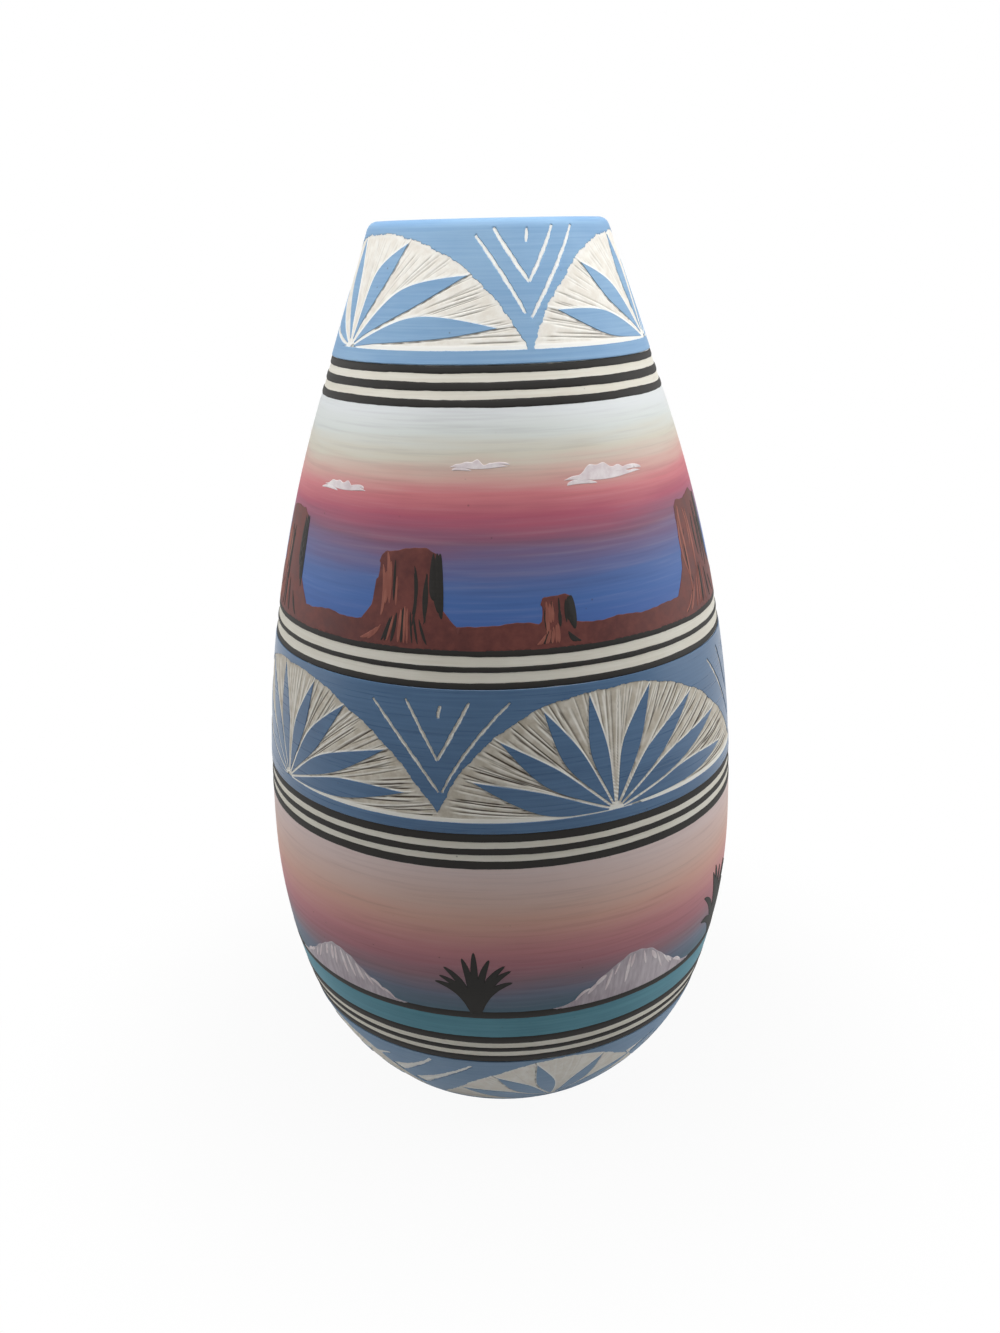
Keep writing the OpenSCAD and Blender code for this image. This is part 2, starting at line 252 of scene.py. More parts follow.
@dataclass(frozen=True)
class Finish:
    """A matt surface, with a streaky coat of two tones.

    Attributes:
        name: The material's name.
        slot: The record's material slot; not used.
        deep: Colour where the coat is thick.
        light: Colour where the coat is thin.
        streak: Which way the brush ran.
        roughness: Mean roughness.
        relief: Height of the brush marks.
        shine: Specular level.
        uneven: How much the roughness varies along the brush marks.
        grain: Share of the relief that is fine grain.
    """

    name: str
    slot: str
    deep: Colour
    light: Colour
    streak: Streak = Streak.LEVEL
    roughness: float = 0.6
    relief: float = 0.03 * MM
    shine: float = 0.25
    uneven: float = 0.25
    grain: float = 0.3

    def material(self) -> bpy.types.Material:
        """The finish as a material, made once.

        Returns:
            The material.
        """
        made = bpy.data.materials.get(self.name)
        if made is None:
            made = bpy.data.materials.new(self.name)
            self._fill(Net.of(made))
        return made

    def _fill(self, net: Net) -> None:
        """Adds the shader's nodes.

        Args:
            net: The material's net.
        """
        place = net.node("ShaderNodeTexCoord", out="Object")
        place = net.node("ShaderNodeVectorMath", {"operation": "SCALE"}, {0: place, "Scale": 1 / MM})
        brush = net.pattern(place, self.streak, detail=5.0, rough=0.6)
        bump = net.node("ShaderNodeBump", None,
                        {"Strength": 1.0, "Distance": self.relief, "Height": self.height(net, place, brush)})
        shader = net.node("ShaderNodeBsdfPrincipled", None, {
            "Base Color": self.colour(net, place, brush),
            "Roughness": self.roughness + (brush - 0.5) * self.uneven,
            "Specular IOR Level": self.shine,
            "Normal": bump,
        })
        net.node("ShaderNodeOutputMaterial", None, {"Surface": shader})

    def height(self, net: Net, place: Sock, brush: Sock) -> Sock:
        """Height of the surface, from 0 to 1: brush marks and a fine grain."""
        return brush * (1 - self.grain) + net.pattern(place, Pattern.GRAIN) * self.grain

    def colour(self, net: Net, place: Sock, brush: Sock) -> Sock:
        """Colour of the surface: streaks, broad patches and a few specks."""
        thin = net.smooth(brush * 0.6 + net.pattern(place, Pattern.PATCHES) * 0.4, 0.32, 0.7)
        return self.specked(net, place, net.mix(thin, self.deep, self.light))

    @staticmethod
    def specked(net: Net, place: Sock, coat: Sock) -> Sock:
        """A colour with small dark specks of the clay's grit.

        Args:
            net: The material's net.
            place: Place, in millimetres.
            coat: The colour without them.

        Returns:
            The colour.
        """
        away = net.node("ShaderNodeTexVoronoi", None, {"Vector": place, "Scale": 0.22})
        gritty = net.smooth(net.pattern(place, Pattern.GRITTY), 0.5, 0.6)
        speck = (1 - net.smooth(away, 0.03, 0.075)) * gritty
        return net.mix(speck * 0.45, coat, GRIT)


@dataclass(frozen=True)
class SkyFinish(Finish):
    """Colours blended into each other by level strokes, from the foot of a picture to its top.

    Attributes:
        low: Height of the picture's lower edge.
        high: Height of the picture's upper edge.
        stops: Share of the picture's height, and the colour there.
        blend: How far the strokes drag one colour into the next, as a share of the height.
        sweep: How far the broadest strokes do, as a multiple of that.
        thin: Share of the light tone in the palest hair strokes.
        thick: Share of the deep tone in the darkest hair strokes.
    """

    low: float = 0.0
    high: float = 1.0
    stops: tuple[tuple[float, Colour], ...] = ()
    blend: float = 0.09
    sweep: float = 1.6
    thin: float = 0.06
    thick: float = 0.35

    def colour(self, net: Net, place: Sock, brush: Sock) -> Sock:
        """Colour of the sky: a ramp by height, dragged and streaked by the brush.

        Args:
            net: The material's net.
            place: Place, in millimetres.
            brush: Brush marks.

        Returns:
            The colour.
        """
        height = net.node("ShaderNodeSeparateXYZ", None, {0: place}, out="Z") * MM
        share = (height - self.low) / (self.high - self.low)
        broad = net.pattern(place, Pattern.SWEEPS)
        drag = (brush - 0.5) * self.blend + (broad - 0.5) * self.blend * self.sweep
        ramp = net.node("ShaderNodeValToRGB", {"stops": self.stops}, {0: share + drag})
        hairs = net.pattern(place, Pattern.HAIRS)
        streaked = net.mix(net.smooth(hairs, 0.5, 0.8) * self.thin, ramp, self.light)
        shaded = net.mix(net.smooth(1 - hairs, 0.45, 0.8) * self.thick, streaked, self.deep, "MULTIPLY")
        return self.specked(net, place, shaded)


@dataclass(frozen=True)
class ScrapedFinish(Finish):
    """Clay laid bare by a scraping tool: pale ridges, grooves darkened by dirt and painted shade, and bright
    cuts with painted highlights.

    Attributes:
        groove_dirt_and_shade: Colour at the bottom of the grooves, which is dirt with painted shade.
        bright: Colour of the fresh cuts round the petals, and of the painted highlights along the cuts and
            scratches.
    """

    groove_dirt_and_shade: Colour = (0.2, 0.17, 0.15, 1.0)
    bright: Colour = (0.85, 0.83, 0.76, 1.0)

    def colour(self, net: Net, place: Sock, brush: Sock) -> Sock:
        """Colour of the scraped clay, by the depth of its grooves.

        Args:
            net: The material's net.
            place: Place, in millimetres.
            brush: Brush marks.

        Returns:
            The colour.
        """
        groove, fresh = (net.node("ShaderNodeAttribute", {"attribute_name": name}, out="Fac")
                         for name in ("groove", "fresh"))
        ridged = net.mix(net.smooth(brush, 0.35, 0.7), self.deep, self.light)
        stained = net.pattern(place, Pattern.STAINS, detail=2.0)
        # The grooves darken towards the groove colour, which is dirt and painted shade together; fresh cuts
        # and painted highlights take the bright colour.
        dirty_and_shaded = net.mix(net.smooth(groove * (0.6 + stained), 0.05, 0.9), ridged, self.groove_dirt_and_shade)
        return net.mix(fresh, dirty_and_shaded, self.bright)


def shown(name: str, data: bpy.types.ID) -> bpy.types.Object:
    """A new object in the scene, with its data.

    Args:
        name: The object's name.
        data: Its mesh, curve, lamp or camera.

    Returns:
        The object.
    """
    made = bpy.data.objects.new(name, data)
    bpy.context.scene.collection.objects.link(made)
    return made


def paired(x: Value, y: Value) -> Array:
    """Rows of x and y, either of which may be one number for all rows."""
    return np.column_stack(np.broadcast_arrays(x, y))


def run_length(line: Array) -> Array:
    """Length along a line at each of its points, which are rows of x and y."""
    return np.concatenate([[0], np.cumsum(np.hypot(*np.diff(line, axis=0).T))])


def ridge(away: Array, middle: float, half: float) -> Array:
    """A smooth ridge, 1 at its middle, which falls away over about half its width to each side."""
    return np.exp(-((away - middle) / half) ** 2)


def grid_faces(rows: int, columns: int, start: int = 0) -> list[list[int]]:
    """Faces of a grid of points that are numbered row by row.

    Args:
        rows: Number of rows.
        columns: Number of points in a row.
        start: Number of the first point.

    Returns:
        The four points of each face, anticlockwise where the rows lie above each other.
    """
    corners = (start + row * columns + column for row in range(rows - 1) for column in range(columns - 1))
    return [[i, i + 1, i + columns + 1, i + columns] for i in corners]


def arc(centre: Sequence[float], radius: float, start: float, end: float, step: float = 0.5 * MM) -> Array:
    """Points along an arc.

    Args:
        centre: Its centre, as radius and height.
        radius: Its radius.
        start: Angle of the first point, in radians.
        end: Angle of the last point, in radians.
        step: Distance between points.

    Returns:
        Rows of radius and height.
    """
    count = max(2, math.ceil(abs(end - start) * radius / step) + 1)
    turn = np.linspace(start, end, count)
    return paired(centre[0] + radius * np.cos(turn), centre[1] + radius * np.sin(turn))


# Waves of a hand's drift, as multiples of the shortest one, and about the most that they add up to
DRIFT_WAVES = (1.0, 1.9, 3.7, 6.1)
DRIFT_PEAK = 2.2


def wander(along: Array, reach: float, wave: float, rng: np.random.Generator) -> Array:
    """Smooth random offsets along a closed line, as a hand drifts.

    Args:
        along: Distance along the line, from 0 to its length.
        reach: About the largest offset.
        wave: Shortest wavelength.
        rng: Source of the random phases.

    Returns:
        One offset for each distance.
    """
    length = along[-1] + (along[-1] - along[-2])
    drift = np.zeros_like(along)
    for stretch in DRIFT_WAVES:
        turns = max(1, round(length / (wave * stretch)))
        drift += np.sin(TURN * turns * along / length + rng.uniform(0, TURN))
    return reach * drift / DRIFT_PEAK


def resampled(loop: Array, step: float) -> Array:
    """A closed line's points at an even spacing.

    Args:
        loop: The closed line, as rows of x and y.
        step: Distance between the new points.

    Returns:
        Rows of x and y, without a repeated first point.
    """
    whole = np.vstack([loop, loop[:1]])
    along = run_length(whole)
    spots = np.linspace(0, along[-1], max(8, round(along[-1] / step)) + 1)[:-1]
    return paired(*(np.interp(spots, along, column) for column in whole.T))


def outward(loop: Array) -> Array:
    """Unit normals of a closed line that runs anticlockwise, pointing out of it.

    Args:
        loop: The closed line, as rows of x and y.

    Returns:
        A normal for each point.
    """
    ahead = np.roll(loop, -1, axis=0) - np.roll(loop, 1, axis=0)
    normal = paired(ahead[:, 1], -ahead[:, 0])
    return normal / np.maximum(np.hypot(*normal.T), 1e-9)[:, None]


def anticlockwise(loop: Array) -> Array:
    """The same closed line, running anticlockwise."""
    x, y = loop.T
    return loop if np.sum(x * np.roll(y, -1) - np.roll(x, -1) * y) > 0 else loop[::-1]


def inside(points: Array, loop: Array) -> Array:
    """Which points lie within a closed line.

    Args:
        points: Rows of x and y.
        loop: The closed line, as rows of x and y.

    Returns:
        A truth value for each point.
    """
    near = np.flatnonzero(((points >= loop.min(0)) & (points <= loop.max(0))).all(1))
    x, y = points[near].T
    odd = np.zeros(len(near), bool)
    for (x0, y0), (x1, y1) in zip(loop, np.roll(loop, -1, axis=0)):
        if y0 != y1:
            odd ^= ((y0 > y) != (y1 > y)) & (x < (x1 - x0) * (y - y0) / (y1 - y0) + x0)
    within = np.zeros(len(points), bool)
    within[near] = odd
    return within


# How a stroke swells from its tips, and how the flare at its start dies away, as powers
SWELL = 0.55
FLARE_FALL = 4
# Distance between the points of a stroke's outline
STROKE_STEP = 0.4 * MM


def stroke(line: Sequence[Sequence[float]], width: float, tip: float = 0.25, flare: float = 0.0) -> Array:
    """Outline of one brush or tool stroke along a line.

    Args:
        line: Points that the stroke follows, as a smooth curve through two or three of them.
        width: Its full width.
        tip: Width at its ends, as a share of the full one.
        flare: How much wider it is at its start, as a share of the width there.

    Returns:
        A closed line of x and y.
    """
    points = np.asarray(line, float)
    count = max(8, round(np.hypot(*(points[-1] - points[0])) / STROKE_STEP))
    share = np.linspace(0, 1, count)[:, None]
    if len(points) == 3:
        bend = 2 * points[1] - (points[0] + points[2]) / 2
        path = (1 - share) ** 2 * points[0] + 2 * share * (1 - share) * bend + share ** 2 * points[2]
    else:
        path = points[0] + share * (points[-1] - points[0])
    ahead = np.gradient(path, axis=0)
    side = paired(-ahead[:, 1], ahead[:, 0])
    side /= np.hypot(*side.T)[:, None]
    swell = tip + (1 - tip) * np.sin(math.pi * share) ** SWELL
    half = width / 2 * swell * (1 + flare * (1 - share) ** FLARE_FALL)
    return np.vstack([path - side * half, (path + side * half)[::-1]])


@dataclass(frozen=True)
class VaseShape:
    """The clay's half section: three arcs, a straight neck, a round rim and an even wall."""

    height: float = CAD_BOX[1].z
    belly_r: float = 68.8 * MM
    belly_z: float = 80 * MM
    shoulder_arc: float = 370 * MM
    neck_z: float = 204 * MM
    under_arc: float = 160 * MM
    foot_arc_z: float = 35 * MM
    foot_arc: float = 70.5 * MM
    wall: float = 5.3 * MM
    floor_t: float = 8 * MM
    recess_r: float = 30 * MM
    recess_h: float = 1.5 * MM
    foot_round: float = 1.2 * MM
    heel_points: int = 5
    coat: float = 0.3 * MM

    @cached_property
    def path(self) -> Array:
        """The section, from the axis under the foot, over the rim, to the axis inside.

        Returns:
            Rows of radius and height.
        """
        shoulder_c = np.array([self.belly_r - self.shoulder_arc, self.belly_z])
        under_c = np.array([self.belly_r - self.under_arc, self.belly_z])
        neck_a = math.asin((self.neck_z - self.belly_z) / self.shoulder_arc)
        foot_a = math.asin((self.foot_arc_z - self.belly_z) / self.under_arc)
        foot_c = under_c + (self.under_arc - self.foot_arc) * np.array([math.cos(foot_a), math.sin(foot_a)])
        out = np.array([math.cos(neck_a), math.sin(neck_a)])
        neck_p = shoulder_c + self.shoulder_arc * out
        drop = self.wall / 2 * (1 - math.sin(neck_a))
        neck_len = (self.height - self.coat - self.neck_z - drop) / math.cos(neck_a)
        rim_c = neck_p - self.wall / 2 * out + neck_len * np.array([-out[1], out[0]])

        def on_foot(radius: float, height: float) -> float:
            """Angle on the foot arc at a height."""
            return math.asin((height - foot_c[1]) / radius)

        sole_r = arc(foot_c, self.foot_arc, on_foot(self.foot_arc, 0), foot_a)[0, 0]
        outside = arc(foot_c, self.foot_arc, on_foot(self.foot_arc, self.foot_round), foot_a)
        share = np.linspace(0, 1, self.heel_points, endpoint=False)[:, None]
        corner = np.array([sole_r, 0])
        heel = ((1 - share) ** 2 * (corner - [self.foot_round, 0]) + 2 * share * (1 - share) * corner
                + share ** 2 * outside[0])
        inner = self.foot_arc - self.wall
        return np.vstack([
            [[0, self.recess_h], [self.recess_r, self.recess_h], [self.recess_r, 0]],
            heel,
            outside,
            arc(under_c, self.under_arc, foot_a, 0)[1:],
            arc(shoulder_c, self.shoulder_arc, 0, neck_a)[1:],
            arc(rim_c, self.wall / 2, neck_a, neck_a + math.pi),
            arc(shoulder_c, self.shoulder_arc - self.wall, neck_a, 0),
            arc(under_c, self.under_arc - self.wall, 0, foot_a)[1:],
            arc(foot_c, inner, foot_a, on_foot(inner, self.floor_t))[1:],
            [[0, self.floor_t]],
        ])

    @cached_property
    def lengths(self) -> Array:
        """Length along the section at each of its points."""
        return run_length(self.path)

    @cached_property
    def outer(self) -> slice:
        """The section's points after the three of the recess, up to the top of the rim."""
        return slice(3, int(np.argmax(self.path[:, 1])) + 1)

    def length(self, height: Value) -> Array:
        """Length along the section at a height of the outside, counted on over the rim."""
        over = np.maximum(0, np.asarray(height) - self.path[self.outer][-1, 1])
        return np.interp(height, self.path[self.outer, 1], self.lengths[self.outer]) + over

    def radius(self, height: Value) -> Array:
        """Radius of the outside at a height."""
        return np.interp(height, self.path[self.outer, 1], self.path[self.outer, 0])

    def laid(self, points: Array, angle: float, height: float) -> Array:
        """Turns points of an unrolled drawing into angles and heights.

        Args:
            points: Rows of x, along the surface, and y, upwards.
            angle: Angle of the drawing's origin, in radians.
            height: Height of the drawing's origin.

        Returns:
            Rows of angle and height.
        """
        level = height + points[:, 1]
        return paired(angle + points[:, 0] / self.radius(level), level)

    def guide(self) -> bpy.types.Object:
        """The section as a curve object in the XZ plane, which the node trees follow.

        Returns:
            The curve object.
        """
        curve = bpy.data.curves.new("section", "CURVE")
        curve.dimensions = "3D"
        spline = curve.splines.new("POLY")
        spline.points.add(len(self.path) - 1)
        for point, (radius, height) in zip(spline.points, self.path):
            point.co = (radius, 0, height, 1)
        return shown("section", curve)


# Vertices round one painted ring
RING_COLUMNS = 288
# Share of a ring's thickness that is lost at its edges
RING_THIN = 0.8
# Slow and quick drift of a ring's edges: noise per turn, its steps by ring, seed and edge, and its share
EDGE_DRIFTS = ((2.2, 7.3, 3.1, 41.0, 2.0), (24.0, 5.9, 2.3, 17.0, 0.7))


class Wrapper:
    """Node trees that lay flat work round the vase.

    In flat work x is the angle, y the length along the section, and z the height above the clay.
    """

    def __init__(self, shape: VaseShape) -> None:
        """Makes the guide curve and the trees.

        Args:
            shape: The vase's shape.
        """
        self.shape = shape
        self.guide = shape.guide()
        self.sheet_tree = self._sheet_tree()
        self.ring_tree = self._ring_tree()

    @staticmethod
    def _tree(name: str, inputs: dict[str, str]) -> tuple[Net, Sock]:
        """A new geometry tree.

        Args:
            name: Its name.
            inputs: Type of each input after the geometry, by name.

        Returns:
            The tree's net, and its group input.
        """
        tree = bpy.data.node_groups.new(name, "GeometryNodeTree")
        tree.interface.new_socket("Geometry", in_out="INPUT", socket_type="NodeSocketGeometry")
        for label, kind in {**inputs, "Guide": "Object", "Material": "Material"}.items():
            tree.interface.new_socket(label, in_out="INPUT", socket_type="NodeSocket" + kind)
        tree.interface.new_socket("Geometry", in_out="OUTPUT", socket_type="NodeSocketGeometry")
        net = Net(tree)
        return net, net.node("NodeGroupInput")

    @staticmethod
    def _lay(net: Net, given: Sock, mesh: Sock, flat: tuple[Operand, Operand, Operand]) -> None:
        """Adds the nodes that lay a flat mesh round the vase and hand it out.

        Args:
            net: The tree's net.
            given: The group input.
            mesh: The flat mesh.
            flat: Angle, length along the section and height above the clay of each vertex.
        """
        angle, along, above = flat
        section = net.node("GeometryNodeObjectInfo", {"transform_space": "ORIGINAL"},
                           {"Object": given.out("Guide")}, out="Geometry")
        spot = net.node("GeometryNodeSampleCurve", {"mode": "LENGTH"},
                        {"Curves": section, "Length": along}, out="Position")
        point = net.node("ShaderNodeSeparateXYZ", None, {0: spot})
        ahead = net.node("ShaderNodeSeparateXYZ", None, {0: spot.out("Tangent")})
        radius = point + above * ahead.out("Z")
        height = point.out("Z") - above * ahead
        place = net.combine(radius * net.math("SINE", angle), -(radius * net.math("COSINE", angle)), height)
        laid = net.node("GeometryNodeSetPosition", None, {"Geometry": mesh, "Position": place})
        closed = net.node("GeometryNodeMergeByDistance", None, {"Geometry": laid, "Distance": WELD})
        smooth = net.node("GeometryNodeSetShadeSmooth", None, {"Geometry": closed, "Shade Smooth": True})
        real = net.node("GeometryNodeRealizeInstances", None, {"Geometry": smooth})
        dressed = net.node("GeometryNodeSetMaterial", None,
                           {"Geometry": real, "Material": given.out("Material")})
        net.node("NodeGroupOutput", None, {0: dressed})

    def _sheet_tree(self) -> bpy.types.NodeTree:
        """A tree that lays a flat mesh round the vase.

        Returns:
            The tree.
        """
        net, given = self._tree("lay_round_vase", {})
        flat = net.node("ShaderNodeSeparateXYZ", None, {0: net.node("GeometryNodeInputPosition")})
        self._lay(net, given, given, (flat, flat.out("Y"), flat.out("Z")))
        return net.tree

    @staticmethod
    def _edge_drift(net: Net, turn: tuple[Sock, Sock], ring: Sock, seed: Sock, edge: float) -> Sock:
        """Drift of one edge of a ring.

        Args:
            net: The tree's net.
            turn: Cosine and sine of the angle.
            ring: The ring's number.
            seed: The rings' seed.
            edge: 0 for the lower edge and 1 for the upper one.

        Returns:
            The drift, from about -1 to 1.
        """
        waves = []
        for often, by_ring, by_seed, by_edge, share in EDGE_DRIFTS:
            shift = ring * by_ring + seed * by_seed + edge * by_edge
            spot = net.combine(turn[0] * often, turn[1] * often, shift)
            waves.append((net.noise(spot) - 0.5) * share)
        return waves[0] + waves[1]

    def _ring_tree(self) -> bpy.types.NodeTree:
        """A tree that paints rings round the vase, one above the other, each with its own drift.

        Returns:
            The tree.
        """
        sizes = ("First", "Pitch", "Width", "Slim", "Uneven", "Wobble", "Coat", "Sink", "Dome")
        counts = ("Rings", "Columns", "Rows", "Seed")
        inputs = {**dict.fromkeys(sizes, "Float"), **dict.fromkeys(counts, "Int")}
        net, given = self._tree("paint_rings", inputs)
        first, pitch, width, slim, uneven, wobble, coat, sink, dome = map(given.out, sizes)
        rings, columns, rows, seed = map(given.out, counts)
        grid = net.node("GeometryNodeMeshGrid", None, {
            "Size X": TURN, "Size Y": rows * 2.0,
            "Vertices X": columns + 1.0, "Vertices Y": rows * 2.0 + 1.0})
        line = net.node("GeometryNodeMeshLine", None, {"Count": rings, "Offset": (0, 0, 1)})
        copies = net.node("GeometryNodeInstanceOnPoints", None, {"Points": line, "Instance": grid})
        mesh = net.node("GeometryNodeRealizeInstances", None, {"Geometry": copies})
        flat = net.node("ShaderNodeSeparateXYZ", None, {0: net.node("GeometryNodeInputPosition")})
        ring = flat.out("Z")
        row = net.math("ROUND", flat.out("Y") + rows) % (rows * 2.0)
        top = row < rows - 0.5
        up = row * 2.0 / (rows - 1.0) - 1.0
        down = 1.0 - (row - rows) * 2.0 / (rows - 1.0)
        across = top * up + (1 - top) * down
        turn = (net.math("COSINE", flat), net.math("SINE", flat))
        low_drift, high_drift = (self._edge_drift(net, turn, ring, seed, edge) * wobble
                                 for edge in (0.0, 1.0))
        luck = net.noise(net.combine(ring * 13.7, seed * 4.9, 0.5), detail=0.0)
        between = (1 - (ring < 0.5)) * (ring < rings - 1.5)
        half = width * (1 + between * (slim - 1)) * (1 + (luck - 0.5) * uneven) / 2.0
        middle = first + ring * pitch
        low, high = middle - half + low_drift, middle + half + high_drift
        along = (low + high) / 2.0 + across * (high - low) / 2.0
        domed = coat * (1 - RING_THIN * abs(across) ** dome)
        self._lay(net, given, mesh, (flat, along, top * domed - (1 - top) * sink))
        return net.tree

    def made(self, name: str, mesh: bpy.types.Mesh, tree: bpy.types.NodeTree, finish: Finish,
             inputs: dict[str, float | int], sharp: float = SHARP) -> Piece:
        """Runs a tree on a flat mesh and keeps the result as a plain mesh.

        Args:
            name: The piece's name.
            mesh: The flat mesh.
            tree: The tree to run.
            finish: The piece's finish.
            inputs: The tree's own inputs, by name.
            sharp: Angle between faces above which an edge stays sharp.

        Returns:
            The piece, at the origin.
        """
        piece = shown(name, mesh)
        modifier = piece.modifiers.new(tree.name, "NODES")
        modifier.node_group = tree
        values = {**inputs, "Guide": self.guide, "Material": finish.material()}
        for item in tree.interface.items_tree:
            if item.in_out == "INPUT" and item.name in values:
                modifier[item.identifier] = values[item.name]
        graph = bpy.context.evaluated_depsgraph_get()
        plain = bpy.data.meshes.new_from_object(piece.evaluated_get(graph), depsgraph=graph)
        piece.modifiers.clear()
        piece.data = plain
        plain.name = name
        bpy.data.meshes.remove(mesh)
        plain.set_sharp_from_angle(angle=sharp)
        return piece

    def rings(self, name: str, finish: Finish, inputs: dict[str, float | int]) -> Piece:
        """Paints rings round the vase, with the ring tree's inputs by name."""
        inputs = {"Sink": SINK, "Columns": RING_COLUMNS, **inputs}
        return self.made(name, bpy.data.meshes.new(name), self.ring_tree, finish, inputs)

    def sheet(self, name: str, work: FlatWork, finish: Finish, sharp: float = SHARP) -> Piece:
        """Lays flat work round the vase."""
        return self.made(name, work.mesh(name), self.sheet_tree, finish, {}, sharp)

    def clear(self) -> None:
        """Removes the guide curve."""
        bpy.data.curves.remove(self.guide.data)


# How far inside an outline the rows of points within it start, as a share of their distance
FILL_START = 0.3
# Points of a drawing nearer than this are one, and points this near to a seam lie on it, in millimetres
DRAWN_TOL = 1e-5
SEAM_TOL = 0.02
# Kind of triangulation that keeps what lies inside the outlines
INSIDE_ONLY = 1


@dataclass
class FlatWork:
    """Closed thin shells in flat coordinates, gathered before they are laid round the vase."""

    shape: VaseShape
    points: list[Array] = field(default_factory=list)
    faces: list[list[int]] = field(default_factory=list)
    values: dict[str, list[Array]] = field(default_factory=dict)
    count: int = 0

    def add(self, points: Array, faces: Iterable[Sequence[int]], **values: Array) -> None:
        """Adds one shell.

        Args:
            points: Rows of angle, length along the section and height above the clay.
            faces: Faces of the shell, by point.
            **values: A value for each point, by attribute.
        """
        self.faces.extend([[i + self.count for i in face] for face in faces])
        self.points.append(points)
        self.count += len(points)
        for name, numbers in values.items():
            self.values.setdefault(name, []).append(numbers)

    def mesh(self, name: str) -> bpy.types.Mesh:
        """The gathered shells as a mesh.

        Args:
            name: The piece's name.

        Returns:
            The flat mesh.
        """
        mesh = bpy.data.meshes.new(name + "_flat")
        mesh.from_pydata(np.vstack(self.points).tolist(), [], self.faces)
        for label, numbers in self.values.items():
            attribute = mesh.attributes.new(label, "FLOAT", "POINT")
            attribute.data.foreach_set("value", np.concatenate(numbers).astype(np.float32))
        return mesh

    def cut(self, rim: Array, high: float, low: float = -SINK, holes: Sequence[Array] = (),
            bevel: float = 0.1 * MM, pitch: float = 2.5 * MM, seam: bool = False) -> None:
        """Adds a coat inside an outline, without what lies in any of its holes.

        Args:
            rim: The closed outline, as rows of angle and height.
            high: Height of the coat's face above the clay.
            low: Height of its underside.
            holes: Closed outlines of the holes, which may overlap.
            bevel: Width of the rounding along its edges.
            pitch: Distance between the points within it.
            seam: Whether the outline's left and right ends meet behind the vase.
        """
        loops = [rim, *holes]
        levels = np.concatenate([loop[:, 1] for loop in loops])
        scale = np.array([float(self.shape.radius(levels.mean())), 1.0]) / MM
        flats = [anticlockwise(paired(loop[:, 0], self.shape.length(loop[:, 1])) * scale) for loop in loops]
        edges, start = [], 0
        for flat in flats:
            edges += [(start + i, start + (i + 1) % len(flat)) for i in range(len(flat))]
            start += len(flat)
        rims = [flat + side * bevel / MM * outward(flat) for flat in flats for side in (-1, 1)]
        lowest, highest = flats[0].min(0), flats[0].max(0)
        across, up = (np.arange(a + FILL_START * pitch / MM, b, pitch / MM) for a, b in zip(lowest, highest))
        fill = np.array(np.meshgrid(across, up)).reshape(2, -1).T
        loose = np.vstack(rims + [fill])
        loose = loose[self._kept(loose, flats)]
        given = [Vector(p) for p in np.vstack(flats + [loose])]
        points, _, triangles, *_ = delaunay_2d_cdt(given, edges, [], INSIDE_ONLY, DRAWN_TOL, False)
        points = np.array([tuple(p) for p in points])
        triangles = np.array(triangles)
        triangles = triangles[self._kept(points[triangles].mean(1), flats)]
        corner = points[triangles]
        turn = np.cross(corner[:, 1] - corner[:, 0], corner[:, 2] - corner[:, 0])
        triangles = np.where((turn > 0)[:, None], triangles, triangles[:, ::-1])
        used, triangles = np.unique(triangles, return_inverse=True)
        points, triangles = points[used], triangles.reshape(-1, 3)
        self._shell(points, triangles, scale, high, low, bevel, (lowest[0], highest[0]) if seam else ())

    @staticmethod
    def _kept(points: Array, flats: Sequence[Array]) -> Array:
        """Which points lie inside the first outline and outside all the others.

        Args:
            points: Rows of x and y.
            flats: The outlines.

        Returns:
            A truth value for each point.
        """
        kept = inside(points, flats[0])
        for hole in flats[1:]:
            kept &= ~inside(points, hole)
        return kept

    def _shell(self, points: Array, triangles: Array, scale: Array, high: float, low: float,
               bevel: float, seams: Sequence[float]) -> None:
        """Adds a triangulated coat with its underside and its edges.

        Args:
            points: Rows of x and y, in the drawing's own scale.
            triangles: Triangles of the coat's face, anticlockwise.
            scale: What angle and length were multiplied by.
            high: Height of the face.
            low: Height of the underside.
            bevel: How far the face drops at its edges.
            seams: Values of x at which the coat closes on itself.
        """
        sides = np.vstack([triangles[:, [0, 1]], triangles[:, [1, 2]], triangles[:, [2, 0]]])
        both = {tuple(side) for side in sides.tolist()}
        rim = np.array([side for side in sides.tolist() if (side[1], side[0]) not in both])
        for seam in seams:
            rim = rim[~(np.abs(points[rim, 0] - seam) < SEAM_TOL).all(1)]
        face_h = np.full(len(points), high)
        face_h[np.unique(rim)] -= min(bevel, 0.5 * (high - max(low, 0)))
        flat = points / scale
        n = len(points)
        shell = np.vstack([np.column_stack([flat, face_h]), np.column_stack([flat, np.full(n, low)])])
        walls = np.column_stack([rim[:, 0], rim[:, 0] + n, rim[:, 1] + n, rim[:, 1]])
        self.add(shell, triangles.tolist() + (triangles[:, ::-1] + n).tolist() + walls.tolist())


def placed(piece: Piece, finish: Finish, *nodes: str) -> Piece:
    """Sets a finished piece on the vase.

    Args:
        piece: The piece.
        finish: Its finish; not used.
        *nodes: The nodes that it stands for.

    Returns:
        The piece.
    """
    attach(piece, BODY)
    if nodes:
        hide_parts(*nodes)
    LOG.info("%s: %d faces, for %s", piece.name, len(piece.data.polygons), ", ".join(nodes) or "its relief")
    return piece


